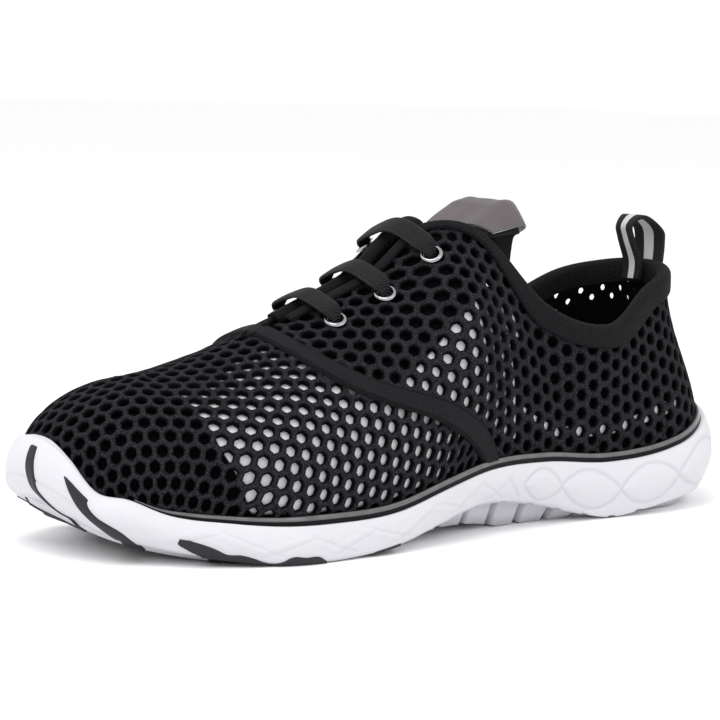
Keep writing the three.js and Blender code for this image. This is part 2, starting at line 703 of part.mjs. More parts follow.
// Rand: the glossy strip that seats on the sidewall and hides the joint with the upper
function randGeometry() {
  const place = (u, b, layer) => {
    const height = soleTop(u) + CLEARANCE + b * RAND_HEIGHT;
    const swell = layer ? RAND_WALL * (1 - RAND_TAPER * b * b) : 0;
    const point = skin(u, levelAt(u, height), CLEARANCE + swell);
    point.z = height;
    return point;
  };
  return thicken([[ring.filter((u) => Math.abs(u) < RAND_END), [0, 1]]], place);
}

add("rand", randGeometry(), 0x24242a, 0.25);

// Seam band: over the vamp from rand to rand, cut from a layer of the upper's form
function bandGeometry() {
  const low = BAND.t[1];
  const foot = (side) => levelAt(low * side, soleTop(low) + RAND_HEIGHT + 5 * CLEARANCE);
  const place = (a, b, layer) => {
    const side = Math.sign(b) || 1;
    const v = mix(2, foot(side), Math.abs(b));
    const t = smooth(BAND, "v", "t", v) - a * smooth(BAND, "v", "half", v);
    return skin(t * side, v, layer ? 2 * WALL : -WALL);
  };
  const down = [0.3, 0.42, 0.51, 0.58, 0.65, 0.72, 0.79, 0.86, 0.93, 1];
  const along = [...down.map((b) => -b).reverse(), 0, ...down];
  const layer = toSolid(upperLayer(CLEARANCE, CLEARANCE + BAND_WALL));
  return toGeometry(layer.intersect(toSolid(thicken([[[-1, 1], along]], place))));
}

add("seam_band", bandGeometry(), 0x17171a, 0.8);

// Level at a distance below the top edge, square to it, and the way up out of the wall there
function inward(u, distance) {
  const ahead = lastPoint(u + STEP_WALK, 1);
  const alongEdge = ahead.sub(lastPoint(u - STEP_WALK, 1)).divideScalar(2 * STEP_WALK);
  const upWall = lastPoint(u, 1).sub(lastPoint(u, 1 - STEP_LEVEL)).divideScalar(STEP_LEVEL);
  const lean = upWall.dot(alongEdge) / alongEdge.lengthSq();
  const square = upWall.clone().addScaledVector(alongEdge, -lean);
  const size = square.length();
  return { level: 1 - distance / size, up: square.divideScalar(size) };
}

// Width of the binding: broad round the collar, narrow down the throat
const bindingLeg = (u) => mix(COLLAR_BINDING, THROAT_BINDING, ease(Math.abs(u), ...BINDING_NARROWS));

// Binding: a folded knit strip over the edge of the collar and the throat
function bindingGeometry() {
  const place = (u, b, layer) => {
    const leg = bindingLeg(u);
    const grow = BINDING_GAP + (layer ? BINDING_WALL : 0);
    const depth = [leg, leg / 2, 0, null, 0, leg][b];
    if (depth === null) {
      return skin(u, 1, -WALL / 2).addScaledVector(inward(u, 0).up, grow);
    }
    const crown = b === 1 ? BINDING_CROWN : 0;
    return skin(u, inward(u, depth).level, b < 3 ? grow + crown : -WALL - grow);
  };
  const end = THROAT_END - BINDING_STOP;
  const edge = [-end, ...ring.filter((u) => Math.abs(u) < end - BINDING_STOP), end];
  return thicken([[edge, [0, 1, 2, 3, 4, 5]]], place);
}

add("binding", bindingGeometry(), 0x202025, 0.9);

// Tongue: a padded sheet under the throat that arches up past its top, through the collar
const TONGUE_DROP = WALL + BINDING_GAP + BINDING_WALL + 3 * CLEARANCE;

// Part of the tongue past the throat: shoulder, knee and hem of its section, as it rises to its end
const TONGUE_RISE = table({
  back: TONGUE_REACH, top: INSTEP_HEIGHT, shoulder: HEEL_WIDTH,
  knee: HEEL_WIDTH, kneeZ: INSTEP_HEIGHT, hem: HEEL_WIDTH, hemZ: INSTEP_HEIGHT,
}, [
  [0.50, 0.978, 0.172, 0.164, 0.910, 0.156, 0.845],
  [0.55, 0.996, 0.272, 0.206, 0.945, 0.200, 0.865],
  [1.00, 1.068, 0.285, 0.230, 0.965, 0.205, 0.860],
]);

// Section of the tongue at a length past the top of the throat: middle, half way, shoulder, knee, hem
function tongueSection(side, length) {
  const t = TONGUE_TOP - length / WALK_LENGTH;
  const { ridge } = station(t);
  if (length <= TONGUE_LEAVES) {
    const at = (half, level) => skin(t * half, level, -TONGUE_DROP);
    const middle = at(1, 1).lerp(at(-1, 1), 0.5);
    middle.z += mix(TONGUE_ARCH, TONGUE_CROWN, ease(length, -TONGUE_REACH, TONGUE_LEAVES));
    return [middle, middle.clone().lerp(at(side, 1), 0.5), at(side, 1), at(side, 0.9), at(side, 0.8)];
  }
  const row = (name) => smooth(TONGUE_RISE, "back", name, length);
  const at = (half, up) => new THREE.Vector3(ridge.x + side * half, ridge.y, up);
  const droop = side > 0 ? TONGUE_DROOP * length / TONGUE_REACH : 0;
  return [
    at(0, row("top")), at(row("shoulder") / 2, row("top")), at(row("shoulder"), row("top") - droop),
    at(row("knee"), row("kneeZ")), at(row("hem"), row("hemZ")),
  ];
}

// p runs across from -1 at the inner hem to 1 at the outer hem
function tongueSheet(p, length) {
  const section = tongueSection(Math.sign(p) || 1, length);
  const last = section.length - 1;
  const k = Math.min(Math.floor(Math.abs(p) * last), last - 1);
  return section[k].clone().lerp(section[k + 1], Math.abs(p) * last - k);
}

function tonguePoint(p, length, out) {
  const up = normalOf(tongueSheet, p, length, -STEP_SIDE, STEP_SIDE);
  return tongueSheet(p, length).addScaledVector(up, out);
}

const tongueAcross = steps(1, -1, 8);

function tongueGeometry() {
  const foot = (TONGUE_TOP - TONGUE_FOOT) * WALK_LENGTH;
  const [first, second, last] = TONGUE_RISE.back;
  const along = [...steps(foot, 0, 6), TONGUE_LEAVES / 2, TONGUE_LEAVES, first, second, last];
  return thicken([[tongueAcross, along]], (p, w, layer) => tonguePoint(p, w, layer ? 0 : -TONGUE_WALL));
}

add("tongue", tongueGeometry(), 0x1c1c20, 0.9);

// Label: a wide ribbon folded over the tongue's top edge, between its shoulders
function labelGeometry() {
  const place = (p, b, layer) => {
    const off = CLEARANCE + (layer ? LABEL_WALL : 0);
    const fold = LABEL_FOLD + (layer ? LABEL_WALL : 0);
    const front = tonguePoint(p, TONGUE_REACH, off);
    const back = tonguePoint(p * LABEL_TUCK, TONGUE_REACH, -TONGUE_WALL - off);
    const foot = TONGUE_RISE.back[1];
    const ahead = tongueSheet(p, TONGUE_REACH).sub(tongueSheet(p, TONGUE_REACH - 1)).normalize();
    return [
      tonguePoint(p, foot, off),
      front,
      front.clone().lerp(back, 0.5).addScaledVector(ahead, fold),
      back,
      tonguePoint(p * LABEL_TUCK, foot, -TONGUE_WALL - off),
    ][b];
  };
  const half = LABEL_SHARE / 2;
  return thicken([[[half, ...tongueAcross.slice(3, -3), -half], [0, 1, 2, 3, 4]]], place);
}

add("tongue_label", labelGeometry(), 0x6a6268, 0.45);

// Pull loop: striped webbing from inside the collar, up and down the back of the heel
function loopGeometry() {
  const back = BINDING_GAP + BINDING_WALL + 3 * CLEARANCE;
  const perWalk = lastPoint(STEP_WALK, 1).distanceTo(lastPoint(-STEP_WALK, 1)) / (2 * STEP_WALK);
  const tall = lastPoint(0, 1).distanceTo(lastPoint(0, 1 - STEP_LEVEL)) / STEP_LEVEL;
  const middle = -WALL / 2;
  const place = (a, b, layer) => {
    const u = LOOP_PLACE + a * LOOP_WIDTH / 2 / perWalk;
    const near = layer ? LOOP_WALL : 0;
    const [down, out, rise] = [
      [LOOP_OUTSIDE, back + near, 0],
      [LOOP_OUTSIDE / 2, back + near, 0],
      [0, back + near, 0],
      [0, middle + LOOP_DEPTH / 2 + near, LOOP_RISE * LOOP_WAIST],
      [0, middle + LOOP_DEPTH / 2 + near, LOOP_RISE * LOOP_SHOULDER],
      [0, middle, LOOP_RISE - LOOP_WALL + near],
      [0, middle - LOOP_DEPTH / 2 - near, LOOP_RISE * LOOP_SHOULDER],
      [0, middle - LOOP_DEPTH / 2 - near, LOOP_RISE * LOOP_WAIST],
      [0, -WALL - back - CLEARANCE - near, 0],
      [LOOP_INSIDE, -WALL - back - CLEARANCE - near, 0],
    ][b];
    return skin(u, 1 - down / tall, out).add(new THREE.Vector3(0, 0, rise));
  };
  return thicken([[[-1, 0, 1], steps(0, 9, 9)]], place);
}

add("pull_loop", loopGeometry(), 0x1a1a1d, 0.9);

// Eyelets: rolled metal rings set through the wall on both sides of the throat
function eyeletGeometry(frame) {
  const bore = EYELET_BORE;
  const barrel = EYELET_BORE + EYELET_WALL;
  const seat = EYELET_SEAT;
  const top = seat + EYELET_FLANGE;
  const end = -WALL - 2 * CLEARANCE;
  const profile = [
    [bore, end], [barrel, end], [barrel, seat], [EYELET_RADIUS, seat],
    [mix(bore, EYELET_RADIUS, EYELET_CREST), top], [bore, seat], [bore, end],
  ].map(([x, y]) => new THREE.Vector2(x, y));
  return new THREE.LatheGeometry(profile, 9).applyMatrix4(frame);
}

eyeletPlaces.forEach((frame, k) => {
  const side = k % 2 ? "inner" : "outer";
  add(`eyelet_${side}_${Math.floor(k / 2) + 1}`, eyeletGeometry(frame), 0xb9bcc2, 0.25, 1);
});

// Lace bars: flat elastic that rises from one eyelet and dips into the one opposite
const LACE_PATH = table({ v: 1, out: 1, wide: 1 }, [
  [0.890, -1.6, LACE_NECK],
  [0.892, 1.0, LACE_NECK],
  [0.910, 2.7, LACE_SHOULDER],
  [0.935, 3.6, LACE_WIDTH],
  [1.000, 3.9, LACE_WIDTH],
  [2.000, 3.9, LACE_WIDTH],
]);

function laceGeometry(t) {
  const half = LACE_PATH.v.map((v, k) => [v, LACE_PATH.out[k], LACE_PATH.wide[k]]);
  const back = half.slice(0, -1).reverse();
  const rows = [...half.map((row) => [1, ...row]), ...back.map((row) => [-1, ...row])];
  const points = rows.map(([side, v, out]) => skin(t * side, v, out));
  const curve = new THREE.CatmullRomCurve3(points, false, "centripetal");
  const across = lastPoint(t + STEP_WALK, 1).sub(lastPoint(t - STEP_WALK, 1)).normalize();
  const count = rows.length - 1;
  const place = (a, b, layer) => {
    const along = curve.getTangent(a);
    const wide = across.clone().addScaledVector(along, -along.dot(across)).normalize();
    const up = along.clone().cross(wide).normalize();
    const k = Math.min(Math.floor(a * count), count - 1);
    const width = mix(rows[k][3], rows[k + 1][3], a * count - k);
    return curve.getPoint(a).addScaledVector(wide, b * width / 2)
      .addScaledVector(up, (layer ? 0.5 : -0.5) * LACE_WALL);
  };
  return thicken([[steps(0, 1, 14), [1, -1]]], place);
}

EYELET_STATIONS.forEach((t, k) => add(`lace_bar_${k + 1}`, laceGeometry(t), 0x202024, 0.8));

export default shoe;
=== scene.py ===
import bpy
import numpy as np
from mathutils import Matrix


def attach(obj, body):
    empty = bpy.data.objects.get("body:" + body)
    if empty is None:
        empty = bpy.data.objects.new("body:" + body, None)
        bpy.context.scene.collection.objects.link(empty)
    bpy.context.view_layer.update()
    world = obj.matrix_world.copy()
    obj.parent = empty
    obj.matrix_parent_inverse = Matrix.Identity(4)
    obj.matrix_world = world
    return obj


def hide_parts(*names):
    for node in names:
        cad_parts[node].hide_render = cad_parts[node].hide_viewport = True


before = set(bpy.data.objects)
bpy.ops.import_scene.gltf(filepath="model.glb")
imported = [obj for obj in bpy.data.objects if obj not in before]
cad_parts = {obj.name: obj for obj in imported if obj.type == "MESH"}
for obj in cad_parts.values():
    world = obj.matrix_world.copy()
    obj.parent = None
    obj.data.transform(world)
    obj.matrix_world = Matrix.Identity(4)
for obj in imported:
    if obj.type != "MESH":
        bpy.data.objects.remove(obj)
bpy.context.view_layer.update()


# Upper
# A hollow wall of thick air mesh with rounded hexagonal holes, in two panels that meet under the seam band.
# The last that it was pulled over is worked out here from the shoe's own sizes, in millimetres.

LENGTH, BALL_WIDTH, HEEL_WIDTH = 282.0, 91.0, 66.0
HEEL_HEIGHT, ANKLE_HEIGHT, INSTEP_HEIGHT, TOE_HEIGHT = 88.0, 68.5, 104.0, 46.0
BACK_RISE, SIDE_RISE, BALL_RISE, BUMPER_RISE = 36.0, 22.0, 13.0, 38.5
ARCH_RISE, TOE_SPRING, FLARE = 11.0, 17.0, 6.0
HEEL_REST = 40.0
WALL, CLEARANCE = 2.2, 0.3
HEEL_TURN, TOE_TURN, HEEL_POLE, TOE_POLE, TURN_POWER = 0.155, 0.80, 0.125, 0.855, 0.9
THROAT_END = 0.64
WALK_LENGTH = LENGTH * (TOE_POLE - HEEL_POLE) / (TOE_TURN - HEEL_TURN)
QUARTER_PITCH, QUARTER_HOLE = 6.5, 0.295
VAMP_PITCH, VAMP_HOLE = 6.0, 0.328
RIM_REACH, THROAT_SWELL = 2.4, 0.14


def table(columns, rows):
    """Columns of numbers by name; a unit of None takes the size named in the row's second place."""
    data = np.array(rows, float)
    units = {name: data[:, 1] if unit is None else unit for name, unit in columns.items()}
    return {name: data[:, k] * units[name] for k, name in enumerate(columns)}


PLAN = table({"s": 1, "of": 1, "centre": None, "outer": None, "inner": None, "ridge": None}, [
    [0.00, HEEL_WIDTH, 0.030, 0.490, 0.470, 0.000],
    [0.14, HEEL_WIDTH, 0.040, 0.515, 0.485, 0.000],
    [0.30, HEEL_WIDTH, 0.020, 0.500, 0.470, -0.015],
    [0.45, BALL_WIDTH, 0.015, 0.395, 0.352, -0.033],
    [0.58, BALL_WIDTH, 0.014, 0.465, 0.418, -0.055],
    [0.70, BALL_WIDTH, -0.024, 0.514, 0.484, -0.077],
    [0.80, BALL_WIDTH, -0.048, 0.512, 0.462, -0.099],
    [0.90, BALL_WIDTH, -0.119, 0.430, 0.370, -0.132],
    [1.00, BALL_WIDTH, -0.160, 0.368, 0.330, -0.165],
])
DEG = np.pi / 180
UPPER = table({
    "t": 1, "of": 1, "edge": None, "inset": HEEL_WIDTH, "lean": DEG, "slope": DEG, "low": 1, "high": 1,
}, [
    [0.000, HEEL_HEIGHT, 1.00, 0.318, -2, 98, 0.35, 0.35],
    [0.080, HEEL_HEIGHT, 0.99, 0.333, 4, 92, 0.35, 0.35],
    [0.155, HEEL_HEIGHT, 0.943, 0.394, 6, 88, 0.35, 0.35],
    [0.260, ANKLE_HEIGHT, 1.00, 0.515, 6, 84, 0.35, 0.35],
    [0.340, ANKLE_HEIGHT, 1.124, 0.424, 6, 76, 0.35, 0.40],
    [0.410, INSTEP_HEIGHT, 0.995, 0.212, 6, 50, 0.38, 0.42],
    [0.460, INSTEP_HEIGHT, 1.000, 0.091, 6, 22, 0.40, 0.50],
    [0.520, INSTEP_HEIGHT, 0.860, 0.061, 7, 18, 0.42, 0.50],
    [0.610, INSTEP_HEIGHT, 0.735, 0.045, 8, 15, 0.45, 0.52],
    [0.700, TOE_HEIGHT, 1.413, 0.045, 10, 10, 0.50, 0.55],
    [0.800, TOE_HEIGHT, 1.228, 0.061, 12, 8, 0.55, 0.55],
    [0.900, TOE_HEIGHT, 1.222, 0.106, 12, 12, 0.52, 0.55],
    [1.000, TOE_HEIGHT, 1.205, 0.136, 12, 17, 0.50, 0.58],
])
SIDE = table({"t": 1, "of": 1, "top": None, "bed": None, "lip": FLARE, "belly": FLARE, "foot": FLARE}, [
    [0.000, BACK_RISE, 1.00, 0.67, 0.50, 1.08, 0.00],
    [0.080, BACK_RISE, 0.875, 0.66, 0.50, 1.00, 0.33],
    [0.155, SIDE_RISE, 1.09, 0.87, 0.50, 0.92, 0.58],
    [0.260, SIDE_RISE, 0.93, 0.73, 0.50, 0.83, 0.58],
    [0.360, SIDE_RISE, 1.045, 0.73, 0.50, 0.67, 0.17],
    [0.450, SIDE_RISE, 1.045, 0.73, 0.50, 0.50, 0.00],
    [0.530, SIDE_RISE, 0.865, 0.62, 0.50, 0.50, 0.17],
    [0.610, BALL_RISE, 1.04, 0.66, 0.50, 0.67, 0.50],
    [0.700, BALL_RISE, 0.96, 0.61, 0.50, 0.75, 0.58],
    [0.800, BALL_RISE, 1.09, 0.78, 0.50, 0.75, 0.33],
    [0.850, BUMPER_RISE, 0.43, 0.327, 0.45, 0.78, 0.08],
    [0.885, BUMPER_RISE, 0.55, 0.379, 0.42, 0.79, -0.10],
    [0.915, BUMPER_RISE, 0.60, 0.420, 0.38, 0.79, -0.22],
    [0.944, BUMPER_RISE, 0.84, 0.492, 0.34, 0.76, -0.31],
    [0.965, BUMPER_RISE, 0.945, 0.545, 0.31, 0.76, -0.34],
    [1.000, BUMPER_RISE, 1.00, 0.580, 0.25, 0.72, -0.57],
])
BAND = table({"v": 1, "t": 1, "half": 1}, [
    [0.00, 0.433, 0.012], [0.07, 0.446, 0.013], [0.15, 0.465, 0.017], [0.28, 0.507, 0.018],
    [0.38, 0.543, 0.020], [0.46, 0.577, 0.020], [0.58, 0.620, 0.016], [0.71, 0.646, 0.012],
    [0.85, 0.660, 0.010], [1.00, 0.665, 0.010], [2.00, 0.666, 0.010],
])
# Soft troughs (below 0) and ridges: walk, level, angle in degrees, half length, half width, height
CREASES = np.array([
    [0.335, 0.55, 62, 17.0, 4.5, -0.9],
    [0.375, 0.62, 70, 16.0, 4.0, 0.6],
    [0.225, 0.52, 20, 20.0, 5.0, -0.5],
    [0.430, 0.42, 50, 15.0, 4.0, -0.6],
    [0.660, 0.62, 75, 16.0, 5.0, -0.6],
    [0.735, 0.70, 85, 17.0, 5.5, -0.5],
    [-0.340, 0.55, -62, 17.0, 4.5, -0.8],
    [-0.700, 0.66, -80, 16.0, 5.0, -0.6],
])


def smooth(tab, key, column, x):
    """Cubic through a table's column: h00 y0 + h10 h m0 + h01 y1 + h11 h m1, level where the walk ends."""
    xs, ys = tab[key], tab[column]
    wide = np.diff(xs)
    d = np.diff(ys) / wide
    m = np.concatenate([d[:1], (d[:-1] * wide[1:] + d[1:] * wide[:-1]) / (wide[1:] + wide[:-1]), d[-1:]])
    if key == "t":
        m[(xs == 0) | (xs == 1)] = 0
    x = np.clip(x, xs[0], xs[-1])
    i = np.clip(np.searchsorted(xs, x, side="right") - 1, 0, len(xs) - 2)
    h = wide[i]
    f = (x - xs[i]) / h
    return ((2 * f**3 - 3 * f**2 + 1) * ys[i] + (f**3 - 2 * f**2 + f) * h * m[i]
            + (3 * f**2 - 2 * f**3) * ys[i + 1] + (f**3 - f**2) * h * m[i + 1])


def ease(x, low, high):
    """3 f^2 - 2 f^3 with f = (x - low) / (high - low), kept between 0 and 1."""
    f = np.clip((x - low) / (high - low), 0, 1)
    return f * f * (3 - 2 * f)


def station(walk):
    """Foot and ridge at a walk u: share of length s, x = centre + half * width(s), y = rest - s L."""
    u = (np.asarray(walk, float) + 1) % 2 - 1
    t = np.abs(u)
    s = HEEL_POLE + (t - HEEL_TURN) / (TOE_TURN - HEEL_TURN) * (TOE_POLE - HEEL_POLE)
    back = np.clip(t / HEEL_TURN, 0, 1) * np.pi / 2
    front = np.clip((t - TOE_TURN) / (1 - TOE_TURN), 0, 1) * np.pi / 2
    s = np.where(t < HEEL_TURN, HEEL_POLE * (1 - np.cos(back)), s)
    s = np.where(t > TOE_TURN, TOE_POLE + (1 - TOE_POLE) * np.sin(front), s)
    width = np.maximum(np.sin(back) * np.cos(front), 0) ** TURN_POWER
    half = np.where(u < 0, -smooth(PLAN, "s", "inner", s), smooth(PLAN, "s", "outer", s))
    pole = np.clip(s, HEEL_POLE, TOE_POLE)
    ridge = np.stack([smooth(PLAN, "s", "ridge", pole), HEEL_REST - pole * LENGTH], -1)
    foot = np.stack([smooth(PLAN, "s", "centre", s) + half * width, HEEL_REST - s * LENGTH], -1)
    reach = np.linalg.norm(foot - ridge, axis=-1)
    return t, ridge, reach, (foot - ridge) / reach[..., None]


def last_point(walk, level):
    """Bezier from footbed (0) to edge (1), then to the ridge (2) z = edge + tan(slope)(i^2 - r^2)/2i."""
    walk, level = np.broadcast_arrays(np.asarray(walk, float), np.asarray(level, float))
    v = np.where(level > 2, 4 - level, level)
    t, ridge, reach, way = station(np.where(level > 2, -walk, walk))
    bed, edge = smooth(SIDE, "t", "bed", t), smooth(UPPER, "t", "edge", t)
    inset, slope, lean = (smooth(UPPER, "t", name, t) for name in ("inset", "slope", "lean"))
    low, high = smooth(UPPER, "t", "low", t), smooth(UPPER, "t", "high", t)
    rise = edge - bed
    span = np.hypot(reach - inset, rise)
    f = np.clip(v, 0, 1)
    w = [(1 - f) ** 3, 3 * f * (1 - f) ** 2, 3 * f * f * (1 - f), f**3]
    out = (w[0] * reach + w[1] * (reach + low * rise * np.sin(lean))
           + w[2] * (inset + high * span * np.cos(slope)) + w[3] * inset)
    up = (w[0] * bed + w[1] * (bed + low * rise * np.cos(lean))
          + w[2] * (edge - high * span * np.sin(slope)) + w[3] * edge)
    cap = inset * (2 - v)
    out = np.where(v > 1, cap, out)
    up = np.where(v > 1, edge + np.tan(slope) * (inset**2 - cap**2) / (2 * inset), up)
    return np.concatenate([ridge + way * out[..., None], up[..., None]], -1)


def unit(vector):
    """A vector over its own length."""
    return vector / np.maximum(np.linalg.norm(vector, axis=-1, keepdims=True), 1e-9)


def normal_of(face, a, b, step_a, step_b):
    """Outward normal of face(a, b): (d face / d b) x (d face / d a)."""
    along_a = face(a + step_a, b) - face(a - step_a, b)
    along_b = face(a, b + step_b) - face(a, b - step_b)
    return unit(np.cross(along_b, along_a))


def skin(walk, level, out):
    """The last's face moved out along its normal."""
    walk, level, out = np.broadcast_arrays(np.asarray(walk, float), level, out)
    u = (walk + 1) % 2 - 1
    fan = np.where(level > 1.999, np.clip(np.abs(u), HEEL_TURN, TOE_TURN) * np.where(u < 0, -1, 1), u)
    at = np.where(level > 1, level, np.clip(level, 0.012, 0.988))
    return last_point(fan, level) + normal_of(last_point, fan, at, 0.004, 0.01) * out[..., None]


def crease(walk, level):
    """Sum of height * exp(-(along / length)^2 - (across / width)^2) over the listed creases."""
    total = np.zeros(np.broadcast(walk, level).shape)
    for at, up, angle, long, wide, height in CREASES:
        a, b = (walk - at) * WALK_LENGTH, (level - up) * 62
        along = a * np.cos(angle * DEG) + b * np.sin(angle * DEG)
        across = b * np.cos(angle * DEG) - a * np.sin(angle * DEG)
        total += height * np.exp(-(along / long) ** 2 - (across / wide) ** 2)
    return total


def weld(points, digits):
    """First place of each distinct point, and each point's place among them."""
    _, first, same = np.unique(np.round(points, digits), axis=0, return_index=True, return_inverse=True)
    return first, same.reshape(-1)


def build(name, points, quads, uv=None, values=None, sharp=60):
    """A mesh from millimetre points and rows of four indices; equal points are welded."""
    points = np.asarray(points, float).reshape(-1, 3)
    first, same = weld(points, 4)
    welded = same[quads]
    kept = welded != np.roll(welded, -1, axis=1)
    fold = (welded[:, 0] == welded[:, 2]) | (welded[:, 1] == welded[:, 3])
    count = np.where(fold, 0, kept.sum(1))
    four, three = count == 4, count == 3
    triangles = welded[three][kept[three]].reshape(-1, 3)
    mesh = bpy.data.meshes.new(name)
    mesh.from_pydata((points[first] * 0.001).tolist(), [], welded[four].tolist() + triangles.tolist())
    if uv is not None:
        corners = np.concatenate([quads[four].ravel(), quads[three][kept[three]]])
        layer = mesh.uv_layers.new(name="strip")
        layer.data.foreach_set("uv", np.asarray(uv, float).reshape(-1, 2)[corners].ravel())
    for key, value in (values or {}).items():
        layer = mesh.attributes.new(key, "FLOAT", "POINT")
        layer.data.foreach_set("value", np.asarray(value, float).ravel()[first])
    mesh.shade_smooth()
    mesh.set_sharp_from_angle(angle=sharp * DEG)
    piece = bpy.data.objects.new(name, mesh)
    bpy.context.scene.collection.objects.link(piece)
    return piece


class Shade:
    """A socket of a shader; arithmetic on it adds Math nodes."""

    def __init__(self, tree, socket):
        self.tree, self.socket = tree, socket

    def node(self, kind, settings, values, out=0):
        """A node of that kind, with its settings and the values of its sockets."""
        made = self.tree.nodes.new(kind)
        for key, value in settings.items():
            setattr(made, key, value)
        for key, value in values.items():
            if isinstance(value, Shade):
                self.tree.links.new(value.socket, made.inputs[key])
            else:
                made.inputs[key].default_value = value
        return Shade(self.tree, made.outputs[out])

    def math(self, kind, *others):
        return self.node("ShaderNodeMath", {"operation": kind}, dict(enumerate((self,) + others)))

    def __add__(self, other):
        return self.math("ADD", other)

    def __sub__(self, other):
        return self.math("SUBTRACT", other)

    def __mul__(self, other):
        return self.math("MULTIPLY", other)

    def __rsub__(self, other):
        return (self * -1.0) + other

    __radd__, __rmul__ = __add__, __mul__

    def sin(self):
        return self.math("SINE")

    def ramp(self, low, high):
        """Smooth step from 0 at low to 1 at high."""
        kind = {"interpolation_type": "SMOOTHSTEP"}
        return self.node("ShaderNodeMapRange", kind, {0: self, 1: low, 2: high})

    def blend(self, first, second):
        """Colour: first where this is 0, second where it is 1."""
        colours = [c if isinstance(c, Shade) else (*c, 1.0) for c in (first, second)]
        return self.node("ShaderNodeMix", {"data_type": "RGBA"}, {0: self, 6: colours[0], 7: colours[1]}, 2)


class Finish:
    """A material on the Principled shader, with the coordinates that its patterns read."""

    def __init__(self, name, **constants):
        self.material = bpy.data.materials.new(name)
        self.material.use_nodes = True
        self.tree = self.material.node_tree
        self.shader = self.tree.nodes["Principled BSDF"]
        self.root = Shade(self.tree, None)
        self.place = self.root.node("ShaderNodeTexCoord", {}, {}, "Object")
        for key, value in constants.items():
            self.shader.inputs[key.replace("_", " ")].default_value = value

    def noise(self, size):
        """Noise with features of about that size in millimetres, from 0 to 1."""
        values = {"Vector": self.place, "Scale": 1000 / size, "Detail": 3.0}
        return self.root.node("ShaderNodeTexNoise", {}, values)

    def value(self, name):
        """An attribute of the mesh."""
        return self.root.node("ShaderNodeAttribute", {"attribute_name": name}, {}, "Fac")

    def strip(self):
        """The piece's own map: along and across, in millimetres."""
        uv = self.root.node("ShaderNodeUVMap", {"uv_map": "strip"}, {})
        parts = uv.node("ShaderNodeSeparateXYZ", {}, {0: uv})
        return parts, Shade(self.tree, parts.socket.node.outputs[1])

    def set(self, colour=None, roughness=None, height=None, depth=0.1, coat=None):
        """Links what varies; depth is the bump's real height in millimetres."""
        for key, field in (("Base Color", colour), ("Roughness", roughness), ("Coat Weight", coat)):
            if isinstance(field, Shade):
                self.tree.links.new(field.socket, self.shader.inputs[key])
        if height is not None:
            values = {"Height": height, "Distance": depth * 0.001, "Strength": 1.0}
            bump = self.root.node("ShaderNodeBump", {}, values)
            self.tree.links.new(bump.socket, self.shader.inputs["Normal"])
        return self.material


def seat(piece, material, slot, *nodes):
    """Gives a finished piece its material, its body and the solids that it stands for; the slot is not used.
    """
    piece.data.materials.clear()
    piece.data.materials.append(material)
    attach(piece, "root")
    if nodes:
        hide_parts(*nodes)
    return piece


def arc_levels(walks, down, longest):
    """Level of the wall at each half millimetre of arc, from the ridge down or from the footbed up."""
    levels = np.linspace(0, 2, 241)
    points = last_point(walks[:, None], levels)
    step = np.linalg.norm(np.diff(points, axis=1), axis=-1)
    arc = np.concatenate([np.zeros((len(walks), 1)), np.cumsum(step, axis=1)], axis=1)
    reach = np.arange(0, longest, 0.5)
    if down:
        arc = arc[:, -1:] - arc
        rows = [np.interp(reach, row[::-1], levels[::-1]) for row in arc]
        return np.array(rows), arc[:, 0]
    return np.array([np.interp(reach, row, levels) for row in arc]), arc[:, 120]


def look_up(rows, i, j):
    """Bilinear value of a grid at fractional places i, j."""
    i = np.clip(i, 0, rows.shape[0] - 1.001)
    j = np.clip(j, 0, rows.shape[1] - 1.001)
    a, b = i.astype(int), j.astype(int)
    f, g = i - a, j - b
    return ((rows[a, b] * (1 - f) + rows[a + 1, b] * f) * (1 - g)
            + (rows[a, b + 1] * (1 - f) + rows[a + 1, b + 1] * f) * g)


quarter_walks = np.linspace(-0.67, 0.67, 269)
quarter_rows, quarter_tall = arc_levels(quarter_walks, False, 160)
vamp_walks = np.linspace(0.38, 1, 249)
vamp_rows = {side: arc_levels(vamp_walks * side, True, 150) for side in (1, -1)}
fan_walks = np.concatenate([np.linspace(TOE_TURN, 1, 60), -np.linspace(1, TOE_TURN, 60)[1:]])
fan_ways = station(np.where(fan_walks == 1, 0.99999, fan_walks))[3]
fan_angles = np.abs(np.arctan2(-fan_ways[:, 1], fan_ways[:, 0]))


def quarter_place(q):
    """Panel behind the band: u = q1 / walk length, v = level at arc q2; t stops at the band's middle."""
    u = q[..., 0] / WALK_LENGTH
    i = np.interp(u, quarter_walks, np.arange(len(quarter_walks)))
    v = np.clip(look_up(quarter_rows, i, np.maximum(q[..., 1], 0) * 2), 0, 1)
    stop = smooth(BAND, "v", "t", v)
    past = np.abs(u) - stop
    beyond = np.interp(u, quarter_walks, quarter_tall)
    outside = np.maximum.reduce([past * WALK_LENGTH, -q[..., 1], q[..., 1] - beyond])
    return np.sign(u) * np.minimum(np.abs(u), stop), v, outside


